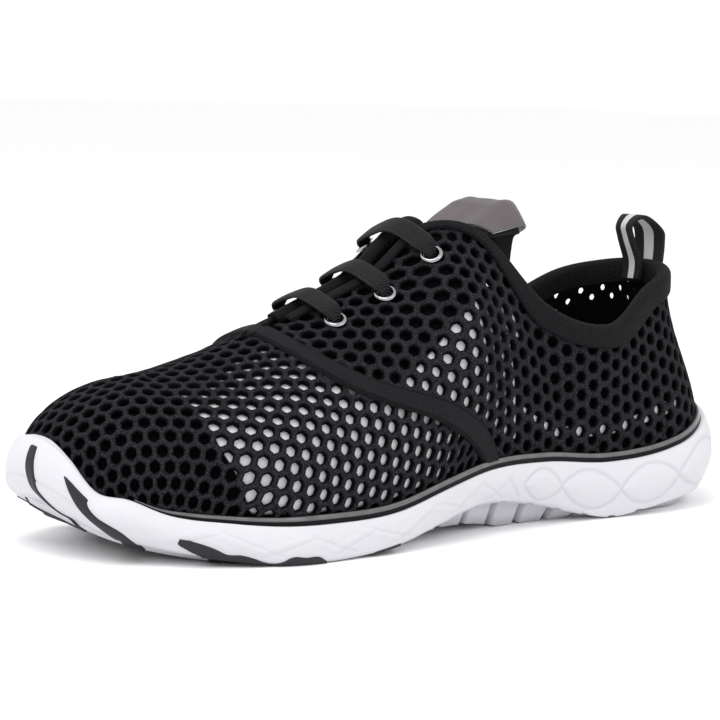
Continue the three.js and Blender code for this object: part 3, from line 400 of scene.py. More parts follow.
def vamp_place(q):
    """Panel before the band: q2 runs to the toe, q1 is the arc from the ridge; past the pole a fan."""
    pole = TOE_TURN * WALK_LENGTH
    ahead = q[..., 1] - pole
    angle = np.arctan2(np.maximum(ahead, 0), q[..., 0])
    fan = np.interp(angle, fan_angles, np.unwrap(fan_walks * np.pi, period=2 * np.pi) / np.pi)
    fan = (fan + 1) % 2 - 1
    side = np.where(ahead > 0, np.where(fan < 0, -1, 1), np.where(q[..., 0] < 0, -1, 1))
    t = np.where(ahead > 0, np.abs(fan), q[..., 1] / WALK_LENGTH)
    arc = np.where(ahead > 0, np.hypot(q[..., 0], ahead), np.abs(q[..., 0]))
    i = np.interp(t, vamp_walks, np.arange(len(vamp_walks)))
    v = np.where(side > 0, *(look_up(vamp_rows[way][0], i, arc * 2) for way in (1, -1)))
    tall = np.where(side > 0, *(np.interp(t, vamp_walks, vamp_rows[way][1]) for way in (1, -1)))
    stop = smooth(BAND, "v", "t", v)
    outside = np.maximum((stop - t) * WALK_LENGTH, arc - tall)
    return side * np.maximum(t, stop), v, outside


def upright(q):
    """The quarter's place with its lattice turned, so that columns of holes stand one over the other."""
    return quarter_place(q[..., ::-1])


def honeycomb(place, pitch, share, low, high, sink=0.0, wall=WALL):
    """Rounded hexagonal holes on a staggered lattice; every cell is five rings of twelve points."""
    row_step = pitch * np.sqrt(3) / 2
    rows = np.arange(np.floor(low[1] / row_step), np.ceil(high[1] / row_step))
    columns = np.arange(np.floor(low[0] / pitch), np.ceil(high[0] / pitch))
    grid = np.stack(np.meshgrid(columns, rows), -1)
    centres = np.stack([(grid[..., 0] + grid[..., 1] % 2 / 2) * pitch, grid[..., 1] * row_step], -1)
    centres = centres.reshape(-1, 2)
    centres = centres[place(centres)[2] < RIM_REACH]
    walk, level, _ = place(centres)
    t = np.abs(walk)
    by_throat = ease(t, 0.43, 0.47) * ease(0.66 - t, 0.0, 0.02) * ease(level, 0.60, 0.78)
    turn = np.arange(12) * np.pi / 6
    spoke = np.stack([np.cos(turn), np.sin(turn)], -1)
    border_reach = np.where(np.arange(12) % 2, pitch / np.sqrt(3), pitch / 2)
    hole_reach = share * pitch * (border_reach / border_reach.mean()) ** 0.7
    border = centres[:, None] + spoke * border_reach[:, None]
    hole = centres[:, None] + spoke * hole_reach[:, None] * (1 + THROAT_SWELL * by_throat)[:, None, None]
    middle = border * 0.45 + hole * 0.55
    first, corner = weld(border.reshape(-1, 2), 2)
    shared, corner = border.reshape(-1, 2)[first], corner.reshape(-1, 12)
    parts, values = [], []
    # The third value of each ring is how far into the hole it lies; the knit uses it to paint shade in the
    # holes.
    for ring, out, deep in ((shared, 0.0, 0.0), (shared, 0.1 - wall, 0.7), (middle, -0.06 * wall, 0.15),
                            (hole, -0.28 * wall, 0.75), (hole, 0.25 - wall, 1.0)):
        u, v, _ = place(ring.reshape(-1, 2))
        parts.append(skin(u, v, out - sink + crease(u, v)))
        values.append(np.full(len(u), deep))
    own = np.arange(centres.shape[0] * 12).reshape(-1, 12)
    n, m = len(shared), own.size
    rings = [corner, 2 * n + own, 2 * n + m + own, 2 * n + 2 * m + own, n + corner]
    quads = [np.stack([a, b, np.roll(b, -1, 1), np.roll(a, -1, 1)], -1).reshape(-1, 4)
             for a, b in zip(rings[:-1], rings[1:])]
    edge = np.stack([corner, np.roll(corner, -1, 1)], -1).reshape(-1, 2)
    _, back, count = np.unique(np.sort(edge, 1), axis=0, return_inverse=True, return_counts=True)
    rim = edge[count[back.reshape(-1)] == 1]
    quads.append(np.stack([rim[:, 0], rim[:, 1], rim[:, 1] + n, rim[:, 0] + n], -1))
    return np.concatenate(parts), np.concatenate(quads), np.concatenate(values)


panels = [honeycomb(upright, QUARTER_PITCH, QUARTER_HOLE, (-2, -215), (100, 215)),
          honeycomb(vamp_place, VAMP_PITCH, VAMP_HOLE, (-110, 120), (110, 365))]
shift = len(panels[0][0])
upper = build(
    "upper_mesh",
    np.concatenate([panels[0][0], panels[1][0]]),
    np.concatenate([panels[0][1][:, ::-1], panels[1][1] + shift]),
    values={"deep": np.concatenate([panels[0][2], panels[1][2]])},
    sharp=80,
)
knit = Finish("air_mesh_black", Specular_IOR_Level=0.08)
deep = knit.value("deep")
fuzz = knit.noise(0.45)
strand = (fuzz * 2.6 - 0.8).ramp(0.0, 1.0).blend((0.0015, 0.0015, 0.002), (0.032, 0.032, 0.039))
# Near black down the walls of the holes and on the wall's inner face: painted shade in the holes.
mesh_colour_hole_shade = deep.ramp(0.0, 0.7).blend(strand, (0.001, 0.001, 0.0015))
knit.set(colour=mesh_colour_hole_shade, roughness=fuzz * 0.2 + 0.72, height=fuzz + knit.noise(1.6) * 0.5, depth=0.35)
seat(upper, knit.material, "mesh", "upper")


# Lining
# One thin sheet of cloth inside the mesh: black behind toe and heel, pale where light spots show through.
# Round the collar it is a net with small holes, where the far wall is seen through.

LINING_GAP, LINING_WALL = 0.35, 0.5
PALE = {
    "vamp": (0.803, 0.46, 0.10, 0.95),
    "waist": (0.66, 0.366, 0.17, 0.80),
    "sole_line": (0.392, 0.12, 0.255, 0.325),
}


def pale_cloth(t, v):
    """1 where the lining is pale: inside the three stretches of the walk and levels, with soft edges."""
    patch = {}
    for name, (front, back, low, high) in PALE.items():
        patch[name] = (ease(front - t, 0, 0.006) * ease(t - back, 0, 0.006)
                       * ease(v - low, -0.01, 0.01) * ease(high - v, -0.02, 0.02))
    before_band = ease(t - smooth(BAND, "v", "t", v), 0, 0.004)
    toe_corner = ease((0.803 - t) - 0.055 * np.maximum(0.5 - v, 0), -0.003, 0.003)
    above_waist = ease(0.75 - 1.25 * (t - 0.40) - v, -0.02, 0.02)
    below_collar = ease(t - 0.40 + 0.21 * np.maximum(v - 0.58, 0), -0.003, 0.003)
    return (patch["vamp"] * toe_corner * before_band + patch["sole_line"]
            + patch["waist"] * above_waist * below_collar * (1 - before_band))


def grid_faces(n, m, shift=0, turned=False):
    """Quads of an n by m grid of points, one row after the other."""
    k = np.arange(n * m).reshape(n, m) + shift
    quads = np.stack([k[:-1, :-1], k[:-1, 1:], k[1:, 1:], k[1:, :-1]], -1).reshape(-1, 4)
    return quads[:, ::-1] if turned else quads


def shell(name, outer, inner, uv=None, values=None, turned=False):
    """A closed sheet between two grids of points: both faces and the four rims; turned swaps its sides."""
    n, m = outer.shape[:2]
    k = np.arange(n * m).reshape(n, m)
    loop = np.concatenate([k[0], k[1:, -1], k[-1, -2::-1], k[-2:0:-1, 0]])
    after = np.roll(loop, -1)
    rim = np.stack([loop, loop + n * m, after + n * m, after], -1)
    quads = np.concatenate([grid_faces(n, m), grid_faces(n, m, n * m, True), rim])
    if turned:
        quads = quads[:, ::-1]
    values = {key: np.concatenate(pair) for key, pair in (values or {}).items()}
    points = np.concatenate([outer.reshape(-1, 3), inner.reshape(-1, 3)])
    return build(name, points, quads, None if uv is None else np.tile(uv.reshape(-1, 2), (2, 1)), values)


def lining_piece(name, walks, levels):
    """Sheet inside the wall; pale says where its cloth is light."""
    u, v = np.meshgrid(walks, levels, indexing="ij")
    pale = pale_cloth(np.abs(u), v).reshape(-1)
    out = -WALL - LINING_GAP + crease(u, v)
    return shell(name, skin(u, v, out), skin(u, v, out - LINING_WALL), values={"pale": (pale, pale)})


cloth = Finish("lining_cloth", Roughness=0.9, Specular_IOR_Level=0.05)
weave = cloth.noise(0.7)
cloth_colour = cloth.value("pale").ramp(0.25, 0.75).blend((0.0015, 0.0015, 0.002), (0.80, 0.80, 0.82))
lining_material = cloth.set(colour=cloth_colour, height=weave, depth=0.1)
for name, walks, levels in (
    ("lining_back", np.linspace(-0.44, 0.44, 331), np.linspace(0.02, 0.78, 60)),
    ("lining_outer", np.linspace(0.44, 0.64, 91), np.linspace(0.02, 0.95, 70)),
    ("lining_inner", np.linspace(-0.64, -0.44, 91), np.linspace(0.02, 0.95, 70)),
    ("lining_front_outer", np.linspace(0.64, 1, 161), np.linspace(0.02, 1.99, 100)),
    ("lining_front_inner", np.linspace(-1 + 1e-9, -0.64, 161), np.linspace(0.02, 1.99, 100)),
):
    seat(lining_piece(name, walks, levels), lining_material, "mesh")


def collar_place(q):
    """The quarter's upright lattice, kept to the stretch between the black lining and the collar."""
    u, v, outside = upright(q)
    return u, v, np.maximum(outside, np.where((v > 0.75) & (np.abs(u) < 0.41), 0, 9))


netting = honeycomb(collar_place, QUARTER_PITCH, 0.17, (20, -140), (100, 140), WALL + LINING_GAP, 0.5)
collar_lining = build("lining_collar", netting[0], netting[1][:, ::-1], values={"pale": netting[2] * 0})
seat(collar_lining, lining_material, "mesh")


# Insole
# The die-cut foam sheet on the footbed, pale grey with a fine woven top.

sock = Finish("insole_foam", Roughness=0.9)
nap = sock.noise(0.6)
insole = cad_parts["insole"]
insole.data.materials.clear()
sock.set(colour=nap.blend((0.50, 0.50, 0.52), (0.62, 0.62, 0.64)), height=nap, depth=0.15)
insole.data.materials.append(sock.material)


# Sole
# One moulded unit of white foam, cupped round the foot of the upper, with leaves carved in its side.
# Grooves across the tread leave ribbed lugs, and the waist arches clear of the floor.

UNDER = table({"t": 1, "of": 1, "outer": None, "inner": None, "drop": None}, [
    [0.000, TOE_SPRING, 0.60, 0.60, 0.12],
    [0.080, TOE_SPRING, 0.44, 0.44, 0.22],
    [0.155, TOE_SPRING, 0.27, 0.27, 0.30],
    [0.200, TOE_SPRING, 0.15, 0.15, 0.25],
    [0.260, ARCH_RISE, 0.05, 0.05, 0.30],
    [0.310, ARCH_RISE, 0.28, 0.28, 0.50],
    [0.360, ARCH_RISE, 0.62, 0.65, 0.85],
    [0.450, ARCH_RISE, 0.95, 1.00, 0.75],
    [0.530, ARCH_RISE, 0.68, 0.75, 0.42],
    [0.610, TOE_SPRING, 0.15, 0.15, 0.25],
    [0.700, TOE_SPRING, 0.03, 0.03, 0.12],
    [0.800, TOE_SPRING, 0.14, 0.22, 0.12],
    [0.900, TOE_SPRING, 0.50, 0.74, 0.09],
    [0.950, TOE_SPRING, 0.80, 0.97, 0.06],
    [1.000, TOE_SPRING, 1.00, 1.00, 0.03],
])
TREAD_EDGE = (0.78, 0.90)
LEAF_NODES = (0.075, 0.158, 0.248, 0.340, 0.400)
LEAF_BOW, LEAF_DEPTH = 0.37, 0.45
# Slanting lines of the sidewall: walk, lean, depth
WAVES = (
    (0.040, 0.02, 0.5), (0.418, 0.02, 0.6), (0.435, -0.03, 0.4), (0.455, 0.035, 0.45), (0.49, -0.04, 0.4),
    (0.525, 0.05, 0.4), (0.575, -0.05, 0.4), (0.62, 0.05, 0.45), (0.66, -0.05, 0.4), (0.70, 0.05, 0.45),
    (0.74, -0.05, 0.4), (0.785, 0.05, 0.4), (0.83, -0.04, 0.3),
)
GROOVES = (0.05, 0.085, 0.195, 0.24, 0.285, 0.33, 0.38, 0.43, 0.48, 0.53)
SIDE_DEPTH, TREAD_DEPTH, RIB_PITCH, RIB_DEPTH = 0.9, 2.2, 1.75, 0.35


def side_point(walk, level):
    """Sidewall: reach + foot(1-l)(1-2l) + 4 belly l(1-l) + lip l(2l-1) out, straight from bottom to top."""
    walk, level = np.broadcast_arrays(np.asarray(walk, float), np.asarray(level, float))
    t, ridge, reach, way = station(walk)
    foot, belly, lip = (smooth(SIDE, "t", name, t) for name in ("foot", "belly", "lip"))
    out = (reach + foot * (1 - level) * (1 - 2 * level) + belly * 4 * level * (1 - level)
           + lip * level * (2 * level - 1))
    edge = np.where((walk + 1) % 2 < 1, smooth(UNDER, "t", "inner", t), smooth(UNDER, "t", "outer", t))
    bottom = np.maximum(edge, 0)
    up = bottom + (smooth(SIDE, "t", "top", t) - bottom) * level
    return np.concatenate([ridge + way * out[..., None], up[..., None]], -1)


def under_point(t, p):
    """Underside: straight from edge to edge, let down by the tread inside its edges."""
    share = ((p + 1) / 2)[..., None]
    point = side_point(-t, 0) * (1 - share) + side_point(t, 0) * share
    tread = np.maximum(point[..., 2] - smooth(UNDER, "t", "drop", t), 0)
    point[..., 2] = tread + (point[..., 2] - tread) * ease(np.abs(p), *TREAD_EDGE)
    return point


def sole_point(t, b):
    """Outside of the sole: b from -1 to 1 is the underside, and past that the two sidewalls."""
    t, b = np.broadcast_arrays(np.asarray(t, float), np.asarray(b, float))
    under = under_point(t, np.clip(b, -1, 1))
    side = side_point(t * np.where(b < 0, -1, 1), np.maximum(np.abs(b) - 1, 0))
    return np.where((np.abs(b) > 1)[..., None], side, under)


def line(distance, width):
    """exp(-(distance / width)^2), a soft line."""
    return np.exp(-(distance / width) ** 2)


def relief(t, b):
    """Height of the moulded pattern in millimetres, how deep it is carved (0 to 1), and where it is low; the
    foam uses the last two to paint shade.
    """
    level = np.abs(b) - 1
    on_side = ease(level, 0.0, 0.06) * (1 - ease(level, 0.94, 1.0))
    high = np.zeros(np.broadcast(t, b).shape)
    carved = np.zeros_like(high)
    for start, stop in zip(LEAF_NODES[:-1], LEAF_NODES[1:]):
        a = (t - start) / (stop - start)
        inside = ease(a, -0.06, 0.03) * (1 - ease(a, 0.97, 1.06))
        bow = LEAF_BOW * np.abs(np.sin(np.clip(a, -0.06, 1.06) * np.pi)) ** 0.8
        gap = np.abs(level - 0.5) - bow
        tight = np.hypot(1, 0.3 * np.pi * np.cos(np.clip(a, 0, 1) * np.pi) * SIDE_RISE
                         / ((stop - start) * WALK_LENGTH))
        carved = np.maximum(carved, LEAF_DEPTH * line(gap * SIDE_RISE / tight, 0.5) * inside)
        high += LEAF_DEPTH * ease(-gap, 0.0, 0.24) * inside
    below_lip = 1 - ease(level, 0.6, 0.9)
    for at, lean, depth in WAVES:
        wave = (t - at - lean * (level - 0.5) * 2) * WALK_LENGTH
        carved = np.maximum(carved, 0.6 * depth * line(wave, 0.7) * ease(level, 0.08, 0.25) * below_lip)
        high += 0.25 * line(wave - 4.5, 3.2) * ease(level, 0.1, 0.4) * below_lip
    parting = line((level - 0.40) * BUMPER_RISE * 0.8, 0.45) * ease(t, 0.90, 0.93)
    carved = np.maximum(carved, 0.3 * parting)
    y = HEEL_REST - station(t)[1][..., 1]
    tread = ease(0.96 - np.abs(b), 0, 0.03)
    notch = 1 - ease(level, -0.05, 0.02)
    for share in GROOVES:
        slot = 1 - ease(np.abs(y - share * LENGTH), 1.2, 1.9)
        carved = np.maximum(carved, slot * np.maximum(tread, notch))
    ribs = (0.5 + 0.5 * np.cos(y / RIB_PITCH * 2 * np.pi)) * ease(t, 0.33, 0.36) * (1 - ease(t, 0.50, 0.53))
    low = 1 - ease(level, 0.02, 0.10)
    carved = carved * np.where(level > 0, np.maximum(on_side, notch), 1)
    return high * on_side - RIB_DEPTH * ribs * low, carved, low


rows = np.linspace(0, 1, 521)
side_levels = np.linspace(0, 1, 33)
under = np.linspace(-1, 1, 39)
columns = np.concatenate([-1 - side_levels[:0:-1], under, 1 + side_levels[1:]])
t, b = np.meshgrid(rows, columns, indexing="ij")
high, carved, low = relief(t, b)
inner_side = np.clip(t, 0.0005, 0.9995)
outward = normal_of(sole_point, inner_side, b, 0.004, 0.03)
depth = np.where(np.abs(b) > 1, SIDE_DEPTH, TREAD_DEPTH)
outside = sole_point(t, b) + outward * (high - depth * carved)[..., None]
outside[..., 2] = np.maximum(outside[..., 2], 0)


def level_at(u, height):
    """Level of the wall at a height, by halving."""
    low, high = np.zeros_like(u), np.ones_like(u)
    for _ in range(24):
        middle = (low + high) / 2
        below = last_point(u, middle)[..., 2] < height
        low, high = np.where(below, middle, low), np.where(below, high, middle)
    return (low + high) / 2


def cup(side):
    """Inside of the cup from the rim down the wall to the footbed, at a half millimetre off the upper."""
    u = rows * side
    top = smooth(SIDE, "t", "top", rows)
    bed = smooth(SIDE, "t", "bed", rows)
    lip = side_point(u, 1)
    wall = skin(u, level_at(u, top), 0.5)
    wall[..., 2] = top
    foot = skin(u, 0, 0.5)
    foot[..., 2] = bed - CLEARANCE
    ledge = lip * 0.85 + wall * 0.15
    return np.stack([ledge, lip * 0.1 + wall * 0.9, wall, (wall + foot) / 2, foot], 1)


inside = np.concatenate([cup(1), cup(-1)[:, ::-1]], axis=1)
loop = np.concatenate([outside, inside], axis=1)
n, m = loop.shape[:2]
k = np.arange(n * m).reshape(n, m)
after = np.roll(k, -1, axis=1)
sole_quads = np.stack([k[:-1], k[1:], after[1:], after[:-1]], -1).reshape(-1, 4)[:, ::-1]
pad = np.zeros((n, inside.shape[1]))
# The carving and the low band at the foot of the sidewall go to the foam's colour as painted shade.
shaded = {"carved": np.concatenate([carved, pad], 1), "low": np.concatenate([low * (t > 0.3), pad], 1)}
sole = build("sole_foam", loop, sole_quads, values=shaded, sharp=70)
foam = Finish("foam_white", Specular_IOR_Level=0.4)
grain = foam.noise(0.8)
stain = foam.noise(30.0)
white = (stain * 0.6).blend((0.655, 0.65, 0.685), (0.60, 0.60, 0.64))
# Grey where the foam is carved and along the foot of the sidewall from the waist forward: painted shade in
# the grooves and under the arch.
sole_colour_painted_shade = (foam.value("carved") * 0.75 + foam.value("low") * 0.35).blend(white, (0.40, 0.40, 0.44))
foam.set(colour=sole_colour_painted_shade, roughness=grain * 0.15 + 0.45, height=grain + foam.noise(3.0), depth=0.05)
seat(sole, foam.material, "foam", "sole")


# Forefoot rubber
# Black outsole rubber moulded under the ball of the foot, with two pods that run up the side.

FOREFOOT_RUBBER = table({"t": 1, "reach": 1}, [
    [0.600, 1.06], [0.628, 1.05], [0.705, 1.06], [0.712, 1.17], [0.730, 1.19], [0.746, 1.20], [0.755, 1.06],
    [0.772, 1.05], [0.780, 1.12], [0.792, 1.19], [0.806, 1.18], [0.812, 1.26], [0.818, 1.33], [0.832, 1.44],
    [0.846, 1.50],
])
RUBBER_RISE = 0.25


def sole_patch(name, t, b, edge):
    """A patch on the sole; edge is 1 inside and falls to 0 at its rim, where it dips into the foam."""
    at = np.clip(t, 0.0005, 0.9995)
    out = normal_of(sole_point, at, b, 0.004, 0.03)
    face = sole_point(t, b)
    top = face + out * (RUBBER_RISE + 0.25 * edge - 0.75 * (1 - edge))[..., None]
    low = face - out * 1.2
    top[..., 2] = np.maximum(top[..., 2], 0)
    low[..., 2] = np.maximum(low[..., 2], 0.02)
    return shell(name, top, low)


def rim_fall(n, width):
    """1 in the middle of n places, falling to 0 over the last few."""
    k = np.minimum(np.arange(n), np.arange(n)[::-1])
    return ease(k, 0, width)


along = np.linspace(0.60, 0.846, 190)
across = np.linspace(-1, 1, 121)
tt, pp = np.meshgrid(along, across, indexing="ij")
reach = smooth(FOREFOOT_RUBBER, "t", "reach", tt)
front = np.interp(np.abs(pp * reach), [0.45, 0.70, 0.81, 1.10, 1.35], [0.85, 0.800, 0.805, 0.832, 0.85])
bite = ease(front - tt, -0.001, 0.001)
pods = sole_patch("forefoot_pods", tt, pp * reach, rim_fall(190, 3)[:, None] * rim_fall(121, 2)[None] * bite)
rubber = Finish("rubber_black", Specular_IOR_Level=0.35)
tooth = rubber.noise(0.6)
black = tooth.blend((0.010, 0.010, 0.013), (0.022, 0.022, 0.028))
rubber.set(colour=black, roughness=tooth * 0.2 + 0.42, height=tooth, depth=0.08)
seat(pods, rubber.material, "outsole_rubber", "forefoot_rubber")


# Toe stripes
# Two stripes of the same rubber let into the bumper, wide at their heads and thin under the foot.

TOE_STRIPES = {
    "toe_stripe_1": [
        [-1.25, 0.900, 0.009], [-1.00, 0.885, 0.008], [-0.75, 0.872, 0.007], [0.00, 0.865, 0.007],
        [0.75, 0.866, 0.013], [1.00, 0.889, 0.014], [1.25, 0.904, 0.014], [1.50, 0.9235, 0.0125],
        [1.70, 0.931, 0.0135], [1.80, 0.932, 0.0165]],
    "toe_stripe_2": [
        [-1.00, 0.950, 0.004], [-0.75, 0.935, 0.004], [0.00, 0.920, 0.004], [0.75, 0.927, 0.004],
        [0.87, 0.945, 0.0045], [1.00, 0.976, 0.005], [1.15, 0.987, 0.0055], [1.45, 0.9865, 0.0075],
        [1.92, 0.986, 0.0055]],
}
for node, stripe_rows in TOE_STRIPES.items():
    stripe = table({"b": 1, "t": 1, "half": 1}, stripe_rows)
    walk_b = np.linspace(stripe["b"][0], stripe["b"][-1], 150)
    bb, aa = np.meshgrid(walk_b, np.linspace(-1, 1, 13), indexing="ij")
    at = smooth(stripe, "b", "t", bb) + aa * smooth(stripe, "b", "half", bb)
    piece = sole_patch(node + "_inlay", at, bb, rim_fall(150, 2)[:, None] * rim_fall(13, 2)[None])
    piece.data.flip_normals()
    seat(piece, rubber.material, "outsole_rubber", node)


# Rand
# A glossy moulded strip between upper and sole, rounded over its top.

RAND_WALL, RAND_HEIGHT, RAND_END = 1.5, 3.2, 0.88
u, share = np.meshgrid(np.linspace(-RAND_END, RAND_END, 601), np.linspace(0, 1, 9), indexing="ij")
fade = 1 - 0.35 * ease(np.abs(u), 0.70, 0.84) - 0.45 * ease(np.abs(u), RAND_END - 0.05, RAND_END)
height = smooth(SIDE, "t", "top", np.abs(u)) + 0.1 + share * RAND_HEIGHT * fade
level = level_at(u, height)
thin_end = 1 - ease(np.abs(u), RAND_END - 0.02, RAND_END) * 0.8
swell = RAND_WALL * np.sqrt(np.clip(1 - (share * 0.97) ** 3, 0, 1)) * thin_end
rand_outer = skin(u, level, 0.25 + swell)
rand_inner = skin(u, level, 0.2)
rand_outer[..., 2], rand_inner[..., 2] = height, height
rand = shell("rand_strip", rand_outer, rand_inner, values={"up": (share.ravel(), share.ravel())})
film = Finish("rand_film_black", Coat_Roughness=0.12, Specular_IOR_Level=0.12)
haze = film.noise(4.0)
rise = film.value("up")
# A band near the top of the strip gets the coat and a lighter grey base colour; the grey is a painted
# highlight.
gloss_and_painted_highlight = rise.ramp(0.44, 0.56) * (1.0 - rise.ramp(0.90, 0.99))
film_colour_painted_highlight = (gloss_and_painted_highlight * (haze * 0.8 + 0.4)).blend((0.002, 0.002, 0.003), (0.13, 0.13, 0.132))
film.set(colour=film_colour_painted_highlight, roughness=haze * 0.15 + 0.3, coat=gloss_and_painted_highlight, height=haze, depth=0.05)
seat(rand, film.material, "rand_film", "rand")


# Seam band
# A strip of smooth knit over the joint of the two panels, from the sole over the foot of the throat.
# A row of stitching runs down both edges in a shallow seam.

BAND_WALL = 0.9
foot_station = BAND["t"][1:2]
foot_level = level_at(foot_station, smooth(SIDE, "t", "top", foot_station) + 2.0)[0]
down = np.linspace(-1, 1, 361)
a, b = np.meshgrid(np.linspace(-1, 1, 25), down, indexing="ij")
v = 2 + (foot_level - 2) * np.abs(b) ** 0.85
side = np.where(b < 0, -1, 1)
t = smooth(BAND, "v", "t", v) - a * smooth(BAND, "v", "half", v)
seam = line(np.abs(a) - 0.80, 0.07)
puff = BAND_WALL * np.sqrt(np.clip(1 - np.abs(a) ** 6, 0, 1)) + 0.12
band_outer = skin(side * t, v, CLEARANCE + puff - 0.35 * seam + crease(side * t, v))
band_inner = skin(side * t, v, -0.2 + crease(side * t, v))
arc = np.concatenate([[0], np.cumsum(np.linalg.norm(np.diff(band_outer[12], axis=0), axis=-1))])
band_uv = np.stack([np.broadcast_to(arc, a.shape), a * 6], -1)
band = shell("band_panel", band_outer, band_inner, uv=band_uv, values={"seam": (seam.ravel(), seam.ravel())})
smooth_knit = Finish("band_knit", Specular_IOR_Level=0.12)
along_band = smooth_knit.strip()[0]
stitch = ((along_band * (2 * np.pi / 1.6)).sin() * 0.5 + 0.5) * smooth_knit.value("seam")
loops = smooth_knit.noise(0.35)
band_cloth = loops.ramp(0.3, 0.7).blend((0.002, 0.002, 0.0025), (0.016, 0.016, 0.019))
band_colour = smooth_knit.value("seam").ramp(0.2, 0.9).blend(band_cloth, (0.001, 0.001, 0.0015))
band_height = loops + smooth_knit.noise(1.2) * 0.6 + stitch
smooth_knit.set(colour=band_colour, roughness=loops * 0.2 + 0.6, height=band_height, depth=0.3)
seat(band, smooth_knit.material, "seam_band", "seam_band")


# Binding
# A soft knit strip folded over the edge of collar and throat and sewn through both legs.

BINDING_WALL, BINDING_GAP, BINDING_CROWN = 1.0, 0.35, 0.3
COLLAR_BINDING, THROAT_BINDING, BINDING_STOP = 7.5, 3.6, 0.006


def spline(f, p0, p1, p2, p3):
    """Catmull-Rom cubic from p1 at f = 0 to p2 at f = 1, with half of p2 - p0 and p3 - p1 as slopes."""
    return p1 + 0.5 * f * (p2 - p0 + f * (2 * p0 - 5 * p1 + 4 * p2 - p3 + f * (3 * (p1 - p2) + p3 - p0)))


def through(points, places):
    """Spline through points[k] at fractional places k, along the first axis."""
    last = len(points) - 1
    k = np.minimum(places.astype(int), last - 1)
    f = (places - k).reshape((-1,) + (1,) * (points.ndim - 1))
    return spline(f, *(points[np.clip(k + d, 0, last)] for d in (-1, 0, 1, 2)))


def inward(u, distance):
    """Level at a distance below the top edge, square to it, and the way up out of the wall."""
    along_edge = (last_point(u + 0.004, 1) - last_point(u - 0.004, 1)) / 0.008
    up_wall = (last_point(u, 1) - last_point(u, 0.99)) / 0.01
    lean = (up_wall * along_edge).sum(-1) / (along_edge**2).sum(-1)
    square = up_wall - along_edge * lean[..., None]
    size = np.linalg.norm(square, axis=-1)
    return 1 - distance / size, square / size[..., None]


end = THROAT_END - BINDING_STOP
u = np.linspace(-end, end, 641)
leg = COLLAR_BINDING + (THROAT_BINDING - COLLAR_BINDING) * ease(np.abs(u), 0.37, 0.44)
profiles = []
for wall in (BINDING_WALL, 0):
    grow = BINDING_GAP + wall
    hem, crown = BINDING_GAP + wall * 0.45, grow + (BINDING_CROWN if wall else 0)
    path = []
    for depth, out in ((leg, hem), (leg * 0.9, grow), (leg / 2, crown), (leg * 0, grow), (None, grow),
                       (leg * 0, -WALL - grow), (leg / 2, -WALL - grow), (leg, -WALL - hem)):
        if depth is None:
            path.append(skin(u, 1, -WALL / 2) + inward(u, 0)[1] * grow)
        else:
            path.append(skin(u, inward(u, depth)[0], out))
    profiles.append(through(np.array(path), np.linspace(0, 7, 25)))
arc = np.concatenate([[0], np.cumsum(np.linalg.norm(np.diff(last_point(u, 1), axis=0), axis=-1))])
binding_uv = np.stack(np.broadcast_arrays(arc[None], np.linspace(0, 18, 25)[:, None]), -1)
binding = shell("collar_binding", profiles[0], profiles[1], uv=binding_uv, turned=True)
ribbed = Finish("binding_knit_black", Specular_IOR_Level=0.12)
along_edge, over_edge = ribbed.strip()
rib = (along_edge * (2 * np.pi / 1.3)).sin() * (over_edge * (2 * np.pi / 1.1)).sin()
fibre = ribbed.noise(0.5)
rib_colour = (rib * 0.3 + fibre).ramp(0.2, 1.0).blend((0.0025, 0.0025, 0.003), (0.018, 0.018, 0.021))
ribbed.set(colour=rib_colour, roughness=fibre * 0.2 + 0.7, height=rib * 0.5 + fibre, depth=0.25)
seat(binding, ribbed.material, "binding_knit", "binding")


# Tongue
# A padded sheet of knit under the throat that arches up out of the collar.

TONGUE_WALL, TONGUE_REACH, TONGUE_LEAVES, TONGUE_TOP, TONGUE_FOOT = 1.8, 30.0, 12.0, 0.44, 0.67
TONGUE_END, TONGUE_DROP, TONGUE_DROOP = 27.5, 5.0, 8.5
# By length past the throat's top: height of the crown, half width of the shoulder, then knee and hem
TONGUE_RISE = {
    15.0: (101.7, 11.4, 10.8, 94.6, 10.3, 87.9),
    16.5: (103.6, 18.0, 13.6, 98.3, 13.2, 90.0),
    30.0: (111.4, 17.6, 15.0, 100.0, 13.5, 89.4),
}


def tongue_section(length):
    """Nine points across the tongue at a length past the throat's top, from the outer hem to the inner."""
    t = TONGUE_TOP - length / WALK_LENGTH
    ridge = station(np.array(t))[1]
    halves = []
    for side in (1, -1):
        if length <= TONGUE_LEAVES:
            edge = skin(t * side, np.array([1, 0.9, 0.8]), -TONGUE_DROP)
            middle = (skin(t, 1, -TONGUE_DROP) + skin(-t, 1, -TONGUE_DROP)) / 2
            middle[2] += 2.8 + 0.4 * ease(length, -TONGUE_REACH, TONGUE_LEAVES)
            halves.append(np.stack([middle, (middle + edge[0]) / 2, *edge]))
        else:
            top, shoulder, knee, knee_up, hem, hem_up = TONGUE_RISE[length]
            droop = TONGUE_DROOP * (length / TONGUE_REACH) ** 2 if side > 0 else 1.0
            out = np.array([0, shoulder / 2, shoulder, knee, hem]) * side + ridge[0]
            up = np.array([top, top, top - droop, knee_up, hem_up])
            halves.append(np.stack([out, np.full(5, ridge[1]), up], -1))
    return np.concatenate([halves[0][::-1], halves[1][1:]])


tongue_foot = (TONGUE_TOP - TONGUE_FOOT) * WALK_LENGTH
tongue_lengths = np.concatenate([np.linspace(tongue_foot, 0, 7), [6, 12, 15, 16.5, 30]])
tongue_net = np.array([tongue_section(length) for length in tongue_lengths])


